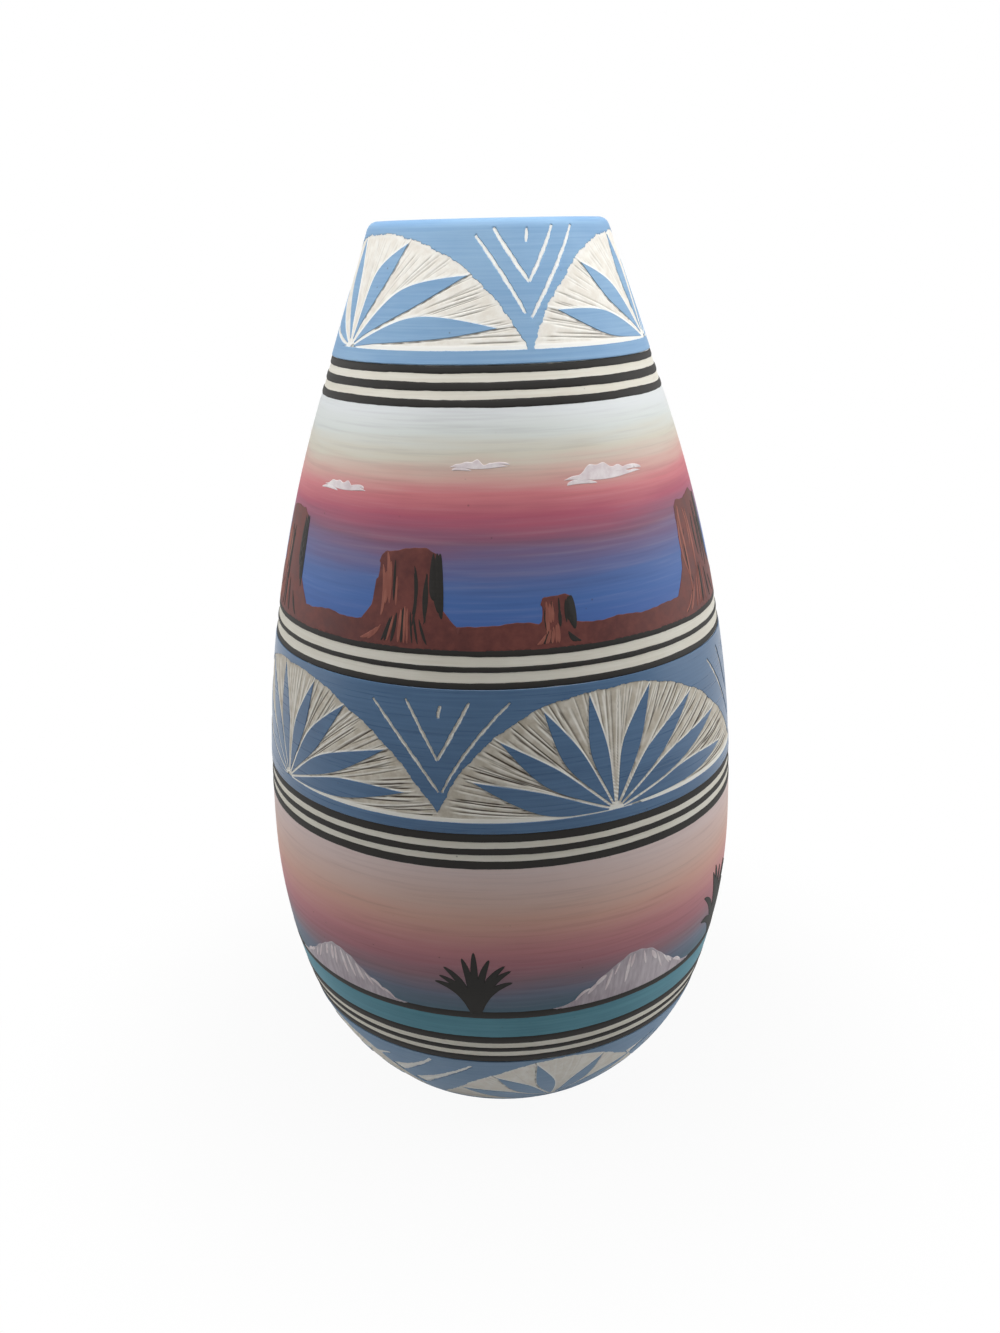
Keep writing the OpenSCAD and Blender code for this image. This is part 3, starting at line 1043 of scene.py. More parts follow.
CLAY = Finish("pale_clay", "bare_clay", tone(226, 221, 207), tone(238, 235, 224), roughness=0.75)
# Bare clay of the fans. The middle band's tones, its grooves included, are darker than the neck's as painted
# shade on the same clay.
NECK_BARE = ScrapedFinish(
    "scraped_clay", "bare_clay", tone(236, 230, 219), tone(248, 245, 237), Streak.DABBED, roughness=0.85,
    groove_dirt_and_shade=tone(88, 80, 70), bright=tone(252, 251, 246))
MIDDLE_BARE = ScrapedFinish(
    "scraped_clay_painted_shade", "bare_clay", tone(194, 185, 169), tone(220, 214, 202), Streak.DABBED,
    roughness=0.85, relief=0.04 * MM, groove_dirt_and_shade=tone(76, 66, 56), bright=tone(248, 246, 238))
# The same blue slip in three tones: palest at the neck, darker at the foot and darkest in the middle band,
# which is painted light and shade.
NECK_SLIP = Finish("neck_blue_slip", "blue_slip", tone(126, 164, 202), tone(146, 181, 212))
MIDDLE_SLIP = Finish("middle_blue_slip", "blue_slip", tone(69, 101, 136), tone(85, 118, 153),
                     roughness=0.3, shine=0.32)
FOOT_SLIP = Finish("foot_blue_slip", "blue_slip", tone(115, 143, 172), tone(134, 160, 186))
INK = Finish("line_ink", "line_paint", tone(22, 20, 18), tone(36, 34, 31), roughness=0.65, relief=0.02 * MM)
LAND = Finish("land_brown", "land_paint", tone(84, 46, 44), tone(116, 66, 60), Streak.DABBED)
LIT_LAND = Finish("lit_land", "land_paint", tone(132, 78, 68), tone(160, 102, 88), Streak.UPRIGHT)
WHITE = Finish("thin_white", "white_paint", tone(214, 198, 202), tone(244, 238, 238), Streak.DABBED)
HILL = Finish("hill_white", "white_paint", tone(166, 154, 163), tone(206, 198, 203), Streak.UPRIGHT)
TURQUOISE = Finish("turquoise", "turquoise_paint", tone(82, 135, 151), tone(98, 153, 169))


@dataclass
class ClayBody:
    """The cast clay, turned round its axis from one section."""

    wrapper: Wrapper
    row: float = 1.5 * MM
    columns: int = 160
    sharp: float = math.radians(50)

    def build(self) -> list[Piece]:
        """Lathes the section by laying a flat grid round the axis.

        Returns:
            The piece.
        """
        shape = self.wrapper.shape
        along = np.linspace(0, shape.lengths[-1], round(shape.lengths[-1] / self.row))
        turn = np.linspace(0, TURN, self.columns + 1)
        points = np.array(np.meshgrid(turn, along)).reshape(2, -1).T
        work = FlatWork(shape)
        work.add(np.column_stack([points, np.zeros(len(points))]), grid_faces(len(along), len(turn)))
        piece = self.wrapper.sheet("turned_clay", work, CLAY, self.sharp)
        return [placed(piece, CLAY, "clay_body")]


@dataclass
class PaintedRings:
    """A group of painted rings, or one broad coat, as wide as the node that it stands for.

    Attributes:
        wrapper: Lays the work round the vase.
        node: The node that it stands for.
        finish: Its finish.
        rings: Number of rings.
        width: Width of the outer rings.
        slim: Width of the rings between them, as a share of the outer ones'.
        uneven: How much the rings differ in width, as a share.
        wobble: How far their edges drift.
        coat: Thickness.
        dome: How square the coat's section is.
        rows: Rows of vertices across one ring.
        overlap: How far a broad coat runs under its neighbours.
        seed: Number that sets the drift.
    """

    wrapper: Wrapper
    node: str
    finish: Finish
    rings: int = 3
    width: float = 1.9 * MM
    slim: float = 1.0
    uneven: float = 0.35
    wobble: float = 0.35 * MM
    coat: float = 0.2 * MM
    dome: float = 5.0
    rows: int = 7
    overlap: float = 0.0
    seed: int = 1

    def build(self) -> list[Piece]:
        """Paints the rings between the node's own lowest and highest points.

        Returns:
            The piece.
        """
        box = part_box(self.node)
        low, high = self.wrapper.shape.length(np.array([box[0].z, box[1].z]))
        width = self.width if self.rings > 1 else high - low + 2 * self.overlap
        first = low + width / 2 if self.rings > 1 else (low + high) / 2
        pitch = (high - low - width) / (self.rings - 1) if self.rings > 1 else 0.0
        piece = self.wrapper.rings(self.node + "_brushed", self.finish, {
            "First": float(first), "Pitch": float(pitch), "Width": float(width), "Slim": self.slim,
            "Uneven": self.uneven, "Wobble": self.wobble, "Coat": self.coat, "Dome": self.dome,
            "Rings": self.rings, "Rows": self.rows, "Seed": self.seed})
        return [placed(piece, self.finish, self.node)]


@dataclass(frozen=True)
class Fan:
    """One fan of petals, scraped into the slip under an arch.

    Attributes:
        middle: Angle of the arch's middle, in degrees.
        half: Half the angle that the arch spans, in degrees.
        tips: The petals' tips from right to left: degrees from the middle, millimetres above the baseline.
        root: How far the petals' meeting point lies from the middle, in degrees.
        lean: Share of a petal's width, beyond a half, that lies to the left of the line to its tip.
        skew: How far the arch's top lies from the middle, in degrees.
    """

    middle: float
    half: float
    tips: tuple[tuple[float, float], ...]
    root: float = 0.0
    lean: float = 0.0
    skew: float = 0.0


@dataclass(frozen=True)
class Petal:
    """One petal, as drawn by hand.

    Attributes:
        way: Direction from its root to its tip, in radians.
        length: Distance from its root to its tip.
        sides: Greatest reach to the right and to the left of the line to its tip.
        apart: Angle to the cut that parts it from its neighbour on the right and on the left, in radians.
        cut: Half the width of that cut.
        least: Least reach near its root and near its tip.
        turn: How tightly its widening sides turn into its taper, as a power.
    """

    way: float
    length: float
    sides: tuple[float, float]
    apart: tuple[float, float]
    cut: float
    least: tuple[float, float] = (0.02 * MM, 0.001 * MM)
    turn: int = 4

    def edge(self, along: Array, side: int) -> Array:
        """Reach of the petal at a distance from its root.

        Args:
            along: Distances along the line to the tip.
            side: 0 for the right and 1 for the left.

        Returns:
            A reach for each distance, which is 0 beyond the tip.
        """
        share = np.clip(along / self.length, 0, 1)
        wedge = np.maximum(along * math.sin(self.apart[side]) - self.cut, self.least[0])
        taper = np.maximum(self.sides[side] * (1 - share ** 2), self.least[1])
        return np.where(share < 1, (wedge ** -self.turn + taper ** -self.turn) ** (-1 / self.turn), 0)


@dataclass(frozen=True)
class Scratches:
    """How the scratches of the scraping tool differ, as a spread or as the least and the most.

    Attributes:
        aside: Spread of their places along the arch, as a share of their distance.
        turn: Spread of their directions, in radians.
        bend: Spread of how far they bend on their way out, in radians.
        half: Half their width, in millimetres.
        begin: Share of the way out at which they begin, before begin_power is taken of it.
        begin_power: Power that moves their beginnings outwards.
        stop: Share of the way out at which they end.
        fade: Shares of the way out over which they deepen and run out.
        deep: Depth.
        pale: Brightness of the burr beside them, which is a painted highlight.
        upright: Depth of an upright scratch, as a share of a level one's.
        burr_and_painted_light: Place and half width of the burr and its painted highlight, in half widths of
            the scratch.
        sector: Angle to each side beyond which a scratch leaves no mark, in radians.
    """

    aside: float = 0.35
    turn: float = 0.02
    bend: float = 0.05
    half: tuple[float, float] = (0.12, 0.28)
    begin: tuple[float, float] = (0.1, 0.75)
    begin_power: float = 0.7
    stop: tuple[float, float] = (0.92, 1.05)
    fade: tuple[float, float] = (0.08, 0.05)
    deep: tuple[float, float] = (0.45, 1.0)
    pale: tuple[float, float] = (0.4, 1.0)
    upright: float = 0.6
    burr_and_painted_light: tuple[float, float] = (2.2, 1.2)
    sector: float = 0.5


@dataclass
class FanBand:
    """A band of blue slip with fans scraped through it, and chevrons cut between the fans.

    Attributes:
        wrapper: Lays the work round the vase.
        name: The band's name, with which its nodes' names start.
        slip: Finish of the slip.
        bare: Finish of the clay that is laid bare.
        fans: The fans, from left to right.
        chevrons: Cuts between two fans: degrees and millimetres from the point where the arches meet.
        base: Height of the fans' baseline.
        rise: Height of the arches above it.
        high: Height of the band's upper edge, counted on over the rim.
        petal_w: Width that a petal tapers from, towards its tip.
        groove_w: Width of the cuts along the petals.
        seed: Number that sets the hand's drift.
        head: How broad the arches' heads are: 2 is an ellipse, and 1 a triangle.
        ends: How steep the arches' ends are, likewise.
        slip_t: Height of the slip's face above the clay.
        scraped_t: Height of the scraped clay's ridges.
        cut_w: Width of the chevron cuts.
        root_gap: How far from their meeting point the petals begin.
        widest: Greatest angle that one petal may take up, in radians.
        petal_luck: Least and greatest width of a petal, as a share.
        cut_luck: Least and greatest width of a chevron cut, as a share.
        aim: How far the cuts in one gap differ from those in another, in degrees and millimetres.
        panel: Where the scraped clay of a fan starts and ends, as shares of the way out to the arch.
        sharp: Angle between the scraped clay's faces above which an edge stays sharp.
        columns: Points along a scraped fan's arch.
        rows: Points from its middle out to the arch.
        coarse: How many of those rows one row of its underside spans.
        scratches: How the tool's scratches differ.
        scrape_pitch: Distance between the scratches along the arches.
        scrape: Depth of the scratches, from 0 to 1.
        ragged: How far the openings' edges are torn.
        rim_fresh: How bright the edge along the arches is, from 0 to 1; the rest of that weight goes to a
            dark line of painted shadow.
        base_cut: Half the width of the cut along the baseline, in millimetres.
        cut_fresh: How bright the floors of the chevron cuts are, from 0 to 1, as painted light against their
            shade.
        tail: How far a petal's cuts run on past its tip.
        flare: How much wider the chevron cuts are at their starts, as a share.
        pitch: Distance between the points of the slip's face.
    """

    wrapper: Wrapper
    name: str
    slip: Finish
    bare: Finish
    fans: Sequence[Fan]
    chevrons: Sequence[Sequence[tuple[float, float]]]
    base: float
    rise: float
    high: float
    petal_w: float
    groove_w: float
    seed: int
    head: float = 2.35
    ends: float = 1.12
    slip_t: float = 0.34 * MM
    scraped_t: float = 0.26 * MM
    cut_w: float = 1.2 * MM
    root_gap: float = 2.2 * MM
    widest: float = math.radians(24)
    petal_luck: tuple[float, float] = (0.92, 1.08)
    cut_luck: tuple[float, float] = (0.85, 1.15)
    aim: float = 0.25
    panel: tuple[float, float] = (0.03, 1.01)
    sharp: float = math.radians(70)
    columns: int = 880
    rows: int = 41
    coarse: int = 5
    scratches: Scratches = Scratches()
    scrape_pitch: float = 1.1 * MM
    scrape: float = 1.0
    ragged: float = 0.16 * MM
    rim_fresh: float = 0.0
    base_cut: float = 0.45
    cut_fresh: float = 0.3
    tail: float = 2.0 * MM
    flare: float = 0.0
    pitch: float = 2.5 * MM

    def __post_init__(self) -> None:
        """Finds the band's lower edge and starts the hand's drift."""
        self.shape = self.wrapper.shape
        self.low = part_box(self.name + "_slip_band")[0].z
        self.base_r = float(self.shape.radius(self.base))
        self.rng = np.random.default_rng(self.seed)
        self.drawn = {fan: self._petal_list(fan) for fan in self.fans}

    def tip(self, fan: Fan) -> float:
        """Angle at which a fan's arch meets the next one's, in degrees.

        Args:
            fan: The fan.

        Returns:
            The angle.
        """
        after = self.fans[(self.fans.index(fan) + 1) % len(self.fans)]
        start = after.middle - after.half
        end = fan.middle + fan.half
        return (end + start + 360 * round((end - start) / 360)) / 2

    def arch(self, fan: Fan, turn: Array, share: Value = 1.0) -> Array:
        """Points on a fan's arch, or a share of the way out to it.

        Args:
            fan: The fan.
            turn: Places on the arch, in radians from its right end.
            share: Share of the way from the middle of the baseline.

        Returns:
            Rows of angle and height.
        """
        across = np.sign(np.cos(turn)) * np.abs(np.cos(turn)) ** (2 / self.head)
        up = np.abs(np.sin(turn)) ** (2 / self.ends)
        angle = fan.middle + share * (fan.half * across + fan.skew * up)
        return paired(np.radians(angle), self.base + share * self.rise * up)

    def _petal_list(self, fan: Fan) -> list[Petal]:
        """The petals of a fan, each parted from the next by a cut between them.

        Args:
            fan: The fan.

        Returns:
            The petals, from right to left.
        """
        spots = np.array(fan.tips) * [math.radians(1), MM] + [math.radians(fan.middle), self.base]
        tips = self._unrolled(fan, spots)
        ways = np.arctan2(tips[:, 1], tips[:, 0])
        gaps = np.minimum(np.diff(ways, prepend=-ways[0], append=TURN - ways[-1]), self.widest)
        shares = (0.5 - fan.lean, 0.5 + fan.lean)
        petals = []
        for number, (way, length) in enumerate(zip(ways, np.hypot(*tips.T))):
            width = self.petal_w * self.rng.uniform(*self.petal_luck)
            sides = (shares[0] * width, shares[1] * width)
            apart = (shares[0] * gaps[number], shares[1] * gaps[number + 1])
            petals.append(Petal(way, length, sides, apart, self.groove_w / 2))
        return petals

    def _unrolled(self, fan: Fan, points: Array) -> Array:
        """Angles and heights as x and y from the petals' meeting point."""
        angle = points[:, 0] - math.radians(fan.middle + fan.root)
        return paired(angle * self.shape.radius(points[:, 1]), points[:, 1] - self.base)

    def petal_loop(self, fan: Fan, petal: Petal) -> Array:
        """Outline of a petal, as rows of angle and height.

        Args:
            fan: The fan.
            petal: The petal.

        Returns:
            A closed line of angle and height.
        """
        along = np.linspace(self.root_gap, petal.length, max(16, round(petal.length / (0.6 * MM))))
        right = paired(along, -petal.edge(along, 0))
        left = paired(along, petal.edge(along, 1))[::-1][1:]
        cos, sin = math.cos(petal.way), math.sin(petal.way)
        turned = np.vstack([right, left]) @ np.array([[cos, sin], [-sin, cos]])
        return self.shape.laid(turned, math.radians(fan.middle + fan.root), self.base)

    def opening(self, fan: Fan) -> Array:
        """Outline of a fan's opening in the slip, with the raggedness that the tool left.

        Args:
            fan: The fan.

        Returns:
            A closed line of angle and height.
        """
        step = 0.45 * MM
        over = self.arch(fan, np.linspace(0, math.pi, 160))
        flat = anticlockwise(resampled(over * [self.base_r, 1.0], step))
        along = np.arange(len(flat)) * step
        torn = wander(along, self.ragged, wave=1.0 * MM, rng=self.rng)
        torn = torn + wander(along, reach=0.35 * MM, wave=14 * MM, rng=self.rng)
        torn = np.minimum(torn, 0.3 * MM) * np.clip((flat[:, 1] - self.base) / (1.5 * MM), 0.15, 1)
        return (flat + torn[:, None] * outward(flat)) / [self.base_r, 1.0]

    def strokes(self) -> list[tuple[float, Array, float]]:
        """The chevron cuts in all gaps between fans.

        Returns:
            The gap's angle, the cut's unrolled line, and its width, for each cut.
        """
        rng = np.random.default_rng(self.seed + 100)
        made = []
        for number, fan in enumerate(self.fans):
            for line in self.chevrons:
                jitter = rng.normal(0, self.aim, (len(line), 2)) * (number > 0)
                spots = (np.array(line) + jitter) * [math.radians(1) * self.base_r, MM]
                made.append((math.radians(self.tip(fan)), spots, self.cut_w * rng.uniform(*self.cut_luck)))
        return made

    def cuts(self, share: float = 1.0, spare: float = 0.0) -> list[Array]:
        """Outlines of the chevron cuts.

        Args:
            share: Share of the cuts' width, which is kept along the chevrons' outer side.
            spare: How much wider than that the outlines are.

        Returns:
            Closed lines of angle and height.
        """
        rng = np.random.default_rng(self.seed + 200)
        loops = []
        for angle, spots, width in self.strokes():
            lean = np.sign((spots[0, 0] - spots[-1, 0]) * (spots[0, 1] - spots[-1, 1]))
            line = spots + [lean * (1 - share) / 2 * width, 0]
            loop = anticlockwise(stroke(line, share * width + spare, tip=0.6, flare=self.flare))
            drift = wander(np.arange(len(loop)) * STROKE_STEP, reach=0.1 * MM, wave=1.1 * MM, rng=rng)
            loop = loop + drift[:, None] * outward(loop)
            loops.append(paired(angle + loop[:, 0] / self.base_r, self.base + loop[:, 1]))
        return loops

    def band(self) -> Array:
        """Outline of the whole band, unrolled from behind the vase and round to there again.

        Returns:
            A closed line of angle and height.
        """
        start = math.radians(self.tip(self.fans[2])) - TURN
        turn = np.linspace(start, start + TURN, 240)
        rise = np.linspace(self.low, self.high, max(24, round((self.high - self.low) / self.pitch)))[1:-1]
        return np.vstack([paired(turn, self.low), paired(turn[-1], rise),
                          paired(turn[::-1], self.high), paired(turn[0], rise[::-1])])

    def slip_band(self) -> Piece:
        """The slip, with its openings and cuts.

        Returns:
            The piece.
        """
        work = FlatWork(self.shape)
        home = self.band()
        left, right = home[:, 0].min(), home[:, 0].max()
        holes = []
        for hole in [self.opening(fan) for fan in self.fans] + self.cuts():
            turns = [hole + [TURN * turn, 0] for turn in (-1, 0, 1)]
            holes += [turned for turned in turns if turned[:, 0].max() > left and turned[:, 0].min() < right]
        work.cut(home, self.slip_t, holes=holes, pitch=self.pitch, seam=True)
        return self.wrapper.sheet(self.name + "_slip_brushed", work, self.slip)

    def cut_floors(self) -> Piece:
        """The clay at the bottom of the cuts, brightened as painted light against the shade in the narrow
        cuts.

        Returns:
            The piece.
        """
        work = FlatWork(self.shape)
        fresh = []
        # Share of the cut's width, height as a share of the ridges', and brightness, which is painted light;
        # the narrower bright line runs along the cuts' outer side
        whole, bright_line = (1.0, 0.45, self.cut_fresh), (0.4, 0.7, 1.0)
        for share, high, bright in (whole, bright_line):
            start = work.count
            for loop in self.cuts(share, 0.3 * MM * (share == 1)):
                work.cut(loop, high * self.scraped_t)
            fresh.append(np.full(work.count - start, bright))
        work.values = {"fresh": fresh, "groove": [np.zeros(work.count)]}
        return self.wrapper.sheet(self.name + "_cut_floors", work, self.bare)

    def petal_group(self) -> Piece:
        """The petals of all the band's fans.

        Returns:
            The piece.
        """
        work = FlatWork(self.shape)
        for fan in self.fans:
            for petal in self.drawn[fan]:
                work.cut(self.petal_loop(fan, petal), self.slip_t)
        return self.wrapper.sheet(self.name + "_petals_brushed", work, self.slip)

    def scraped(self, fan: Fan, number: int) -> Piece:
        """The clay laid bare inside one fan, with the grooves that the tool left.

        Args:
            fan: The fan.
            number: Its number in the band, from 0.

        Returns:
            The piece.
        """
        turn = np.linspace(0, math.pi, self.columns)
        share = np.linspace(*self.panel, self.rows)
        points = np.vstack([self.arch(fan, turn, s) for s in share])
        groove, fresh = self._marks(fan, self._unrolled(fan, points))
        # Plain clay lies at 0.8 of the ridges' height, with grooves below it, and fresh cuts and the burrs of
        # the painted highlights above it
        above = self.scraped_t * (0.8 - 0.75 * groove + 0.15 * fresh)
        flat = np.column_stack([points[:, 0], self.shape.length(points[:, 1]), above])
        under = flat.reshape(self.rows, self.columns, 3)[::self.coarse].reshape(-1, 3).copy()
        # The coarse underside lies deeper, so that it stays inside the clay's curve
        under[:, 2] = -3 * SINK
        work = FlatWork(self.shape)
        zeros = np.zeros(len(under))
        work.add(np.vstack([flat, under]), self._panel_faces(),
                 groove=np.concatenate([groove, zeros]), fresh=np.concatenate([fresh, zeros]))
        return self.wrapper.sheet(f"{self.name}_scraped_fan_{number + 1}", work, self.bare, self.sharp)

    def _panel_faces(self) -> list[list[int]]:
        """Faces of a scraped panel: a fine face, a coarse underside, and the edges between them.

        Returns:
            The points of each face.
        """
        wide, fine, coarse = self.columns, self.rows, self.coarse
        base, blocks = wide * fine, (fine - 1) // coarse
        faces = [[b, a, d, c] for a, b, c, d in grid_faces(fine, wide)]
        faces += grid_faces(blocks + 1, wide, base)
        for r in range(blocks):
            first = [(r * coarse + i) * wide for i in range(coarse + 1)]
            faces.append(first[::-1] + [base + r * wide, base + (r + 1) * wide])
            last = [i + wide - 1 for i in first]
            faces.append(last + [base + (r + 2) * wide - 1, base + (r + 1) * wide - 1])
        top, low = (fine - 1) * wide, base + blocks * wide
        faces += [[top + c + 1, top + c, low + c, low + c + 1] for c in range(wide - 1)]
        faces += [[c, c + 1, base + c + 1, base + c] for c in range(wide - 1)]
        return faces

    @staticmethod
    def _rim_reach(rim: Array) -> tuple[Array, Array]:
        """Directions of an arch's points from the petals' meeting point, in order, and their distances."""
        way = np.arctan2(rim[:, 1], rim[:, 0])
        return np.sort(way), np.hypot(*rim[np.argsort(way)].T)

    def _scratched(self, rim: Array, reach: Array, way: Array) -> tuple[Array, Array]:
        """Marks of the scratches that the tool drew out to the arch.

        Args:
            rim: Points of the arch, as x and y from the petals' meeting point.
            reach: Distance of each spot from there.
            way: Direction of each spot from there, in radians.

        Returns:
            A groove depth, which is darkened with dirt and painted shade, and a painted highlight on the
            burr, from 0 to 1 for each spot.
        """
        tool, rng, around = self.scratches, self.rng, run_length(rim)
        groove, fresh = np.zeros_like(reach), np.zeros_like(reach)
        for start in np.arange(0, around[-1], self.scrape_pitch):
            spot = start + rng.normal(0, tool.aside * self.scrape_pitch)
            end = np.array([np.interp(spot, around, column) for column in rim.T])
            heading = math.atan2(end[1], end[0]) + rng.normal(0, tool.turn)
            share = reach / np.hypot(*end)
            aside = reach * np.sin(way - heading - rng.normal(0, tool.bend) * (1 - share))
            half = rng.uniform(*tool.half) * MM
            begin, stop = rng.uniform(*tool.begin) ** tool.begin_power, rng.uniform(*tool.stop)
            begins, ends = (share - begin) / tool.fade[0], (stop - share) / tool.fade[1]
            length = np.clip(begins, 0, 1) * np.clip(ends, 0, 1)
            length = np.where(np.abs(way - heading) < tool.sector, length, 0)
            deep, pale = self.scrape * rng.uniform(*zip(tool.deep, tool.pale))
            deep *= tool.upright + (1 - tool.upright) * abs(math.cos(heading))
            burr_and_painted_light, burr_half = (share * half for share in tool.burr_and_painted_light)
            # The groove darkens with dirt and painted shade, and the burr beside it gets a painted highlight.
            groove = np.maximum(groove, deep * ridge(aside, 0, half) * length)
            fresh = np.maximum(fresh, pale * ridge(aside, burr_and_painted_light, burr_half) * length)
        return groove, fresh * (1 - groove)

    def _petal_cut(self, petal: Petal, reach: Array, way: Array) -> tuple[Array, Array]:
        """Marks of the cut round one petal: bright above it, as a fresh cut with a painted highlight, and
        below it a dark torn line of painted shadow.

        Args:
            petal: The petal.
            reach: Distance of each spot from the petals' meeting point.
            way: Direction of each spot from there, in radians.

        Returns:
            A depth of painted shadow below the petal, and a brightness above it, from 0 to 1 for each spot.
        """
        along, aside = reach * np.cos(way - petal.way), reach * np.sin(way - petal.way)
        edge = np.abs(aside) - np.where(aside > 0, petal.edge(along, 1), petal.edge(along, 0))
        held = (along > 0.3 * self.root_gap) * (along < petal.length + self.tail)
        # Only the upper side gets the full brightness, as a painted highlight; the lower side gets a dark
        # line of painted shadow.
        above = aside * math.cos(petal.way) > 0
        middle = 0.3 * self.groove_w
        fresh = np.clip(1.8 - np.abs(edge - middle) / middle, 0, 1) * held * np.where(above, 1, 0.3)
        waves = np.sin(along * 2.1 / MM + 9 * petal.way) * np.sin(along * 0.83 / MM + petal.length)
        burr_and_painted_light = ridge(edge, middle=0.25 * MM, half=0.25 * MM) * (0.65 + 0.35 * waves) * ~above
        return burr_and_painted_light * held * (along > 0.3 * petal.length), fresh

    def _marks(self, fan: Fan, spots: Array) -> tuple[Array, Array]:
        """Depth of the grooves, with their painted shade, and brightness of the cuts, with their painted
        highlights, over a fan.

        Args:
            fan: The fan.
            spots: Rows of x and y from the petals' meeting point.

        Returns:
            A depth, darkened with dirt and painted shade, and a brightness of cuts and painted highlights,
            from 0 to 1 for each spot.
        """
        reach = np.hypot(*spots.T)
        way = np.arctan2(spots[:, 1], spots[:, 0])
        rim = self._unrolled(fan, self.arch(fan, np.linspace(0, math.pi, 400)))
        groove, fresh = self._scratched(rim, reach, way)
        for petal in self.drawn[fan]:
            burr_and_painted_light, bright = self._petal_cut(petal, reach, way)
            groove, fresh = np.maximum(groove, burr_and_painted_light), np.maximum(fresh, bright)
        edge = np.interp(way, *self._rim_reach(rim)) - reach
        # Along the arch the edge is brightened, and what is left of that weight darkens it with a line of
        # painted shadow under the slip's edge.
        fresh = np.maximum(fresh, self.rim_fresh * ridge(edge, middle=0.1 * MM, half=0.4 * MM))
        groove = np.maximum(groove, 0.5 * (1 - self.rim_fresh) * ridge(edge, middle=0.2 * MM, half=0.2 * MM))
        baseline = np.clip(2 - np.abs(spots[:, 1] / MM - self.base_cut) / self.base_cut, 0, 1)
        fresh, groove = np.maximum(fresh, baseline), groove * (1 - baseline)
        return groove * (1 - 0.5 * fresh), fresh * (1 - 0.5 * groove)

    def build(self) -> list[Piece]:
        """Builds the slip, its petals and the scraped clay of each fan.

        Returns:
            The pieces.
        """
        pieces = [
            placed(self.slip_band(), self.slip, self.name + "_slip_band"),
            placed(self.petal_group(), self.slip, self.name + "_fan_petals"),
        ]
        pieces += [placed(self.scraped(fan, i), self.bare) for i, fan in enumerate(self.fans)]
        return pieces + [placed(self.cut_floors(), self.bare)]


@dataclass(frozen=True)
class Mesa:
    """A flat-topped rock: its angle and half width in degrees, and its height."""

    angle: float
    half: float
    height: float


@dataclass(frozen=True)
class RockStrokes:
    """Brush strokes down the rocks.

    Attributes:
        name: The piece's name.
        finish: Their finish.
        edge: Broad strokes down a rock's right edge: place and lower end, as shares of half width and height.
        cliff: Where strokes down its wall lie, as shares of its half width.
        scree: Where strokes over its foot end, likewise.
        rise: How far they stand above the rock.
    """

    name: str
    finish: Finish
    edge: tuple[tuple[float, float], ...]
    cliff: tuple[float, float]
    scree: tuple[float, float]
    rise: float


SHADE = RockStrokes("upper_land_shade", INK, ((0.45, 0.3), (0.41, 0.36), (0.36, 0.5)), cliff=(-0.3, 0.3),
                    scree=(-0.6, 0.85), rise=0.02 * MM)
LIGHT = RockStrokes("upper_land_light", LIT_LAND, (), cliff=(-0.4, -0.1), scree=(-0.75, 0.1), rise=0.04 * MM)
# How far the land and the hills run on below their picture
UNDERLAP = 0.4 * MM


@dataclass
class Picture:
    """A picture round the vase: a blended sky, and what is painted over it.

    Attributes:
        wrapper: Lays the work round the vase.
        node: The sky's node.
        tones: Dark and pale tone of the sky's brush strokes.
        stops: Share of the picture's height, and the sky's colour there.
        sky_seed: Number that sets the drift of the sky's edges.
        seed: Number that sets the hand's drift.
        sky_rows: Rows of vertices across the sky.
        coat: Thickness of the sky.
        second: Height of what is painted over it.
    """

    wrapper: Wrapper
    node: str
    tones: tuple[Colour, ...]
    stops: tuple[tuple[float, Colour], ...]
    sky_seed: int
    seed: int
    sky_rows: int = 30
    coat: float = 0.12 * MM
    second: float = 0.2 * MM

    def __post_init__(self) -> None:
        """Finds the picture's edges and starts the hand's drift."""
        self.shape = self.wrapper.shape
        self.low, self.high = (corner.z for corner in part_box(self.node))
        self.low_r = float(self.shape.radius(self.low))
        self.rng = np.random.default_rng(self.seed)

    def sky(self) -> list[Piece]:
        """Paints the sky, as one broad coat.

        Returns:
            The piece.
        """
        finish = SkyFinish(self.node, self.node + "_paint", *self.tones, Streak.SOFT, relief=0.012 * MM,
                           low=self.low, high=self.high, stops=self.stops)
        coat = PaintedRings(self.wrapper, self.node, finish, rings=1, wobble=0.1 * MM, coat=self.coat,
                            dome=80.0, rows=self.sky_rows, overlap=0.5 * MM, seed=self.sky_seed)
        return coat.build()

    def paint(self, work: FlatWork, loops: Iterable[Array], angle: float, level: float,
              rise: float = 0.0, low: float = -SINK, step: float = 0.0) -> None:
        """Adds strokes, over each other where they meet, to flat work.

        Args:
            work: The work.
            loops: Outlines of the strokes, unrolled, in the order in which they are painted.
            angle: Angle of their origin, in degrees.
            level: Height of their origin.
            rise: How far they stand above the second coat.
            low: Height of their underside.
            step: How much thicker each is than the one before it, above and below.
        """
        for number, loop in enumerate(loops):
            more = step * number
            work.cut(self.shape.laid(loop, math.radians(angle), level), self.second + rise + more, low - more)


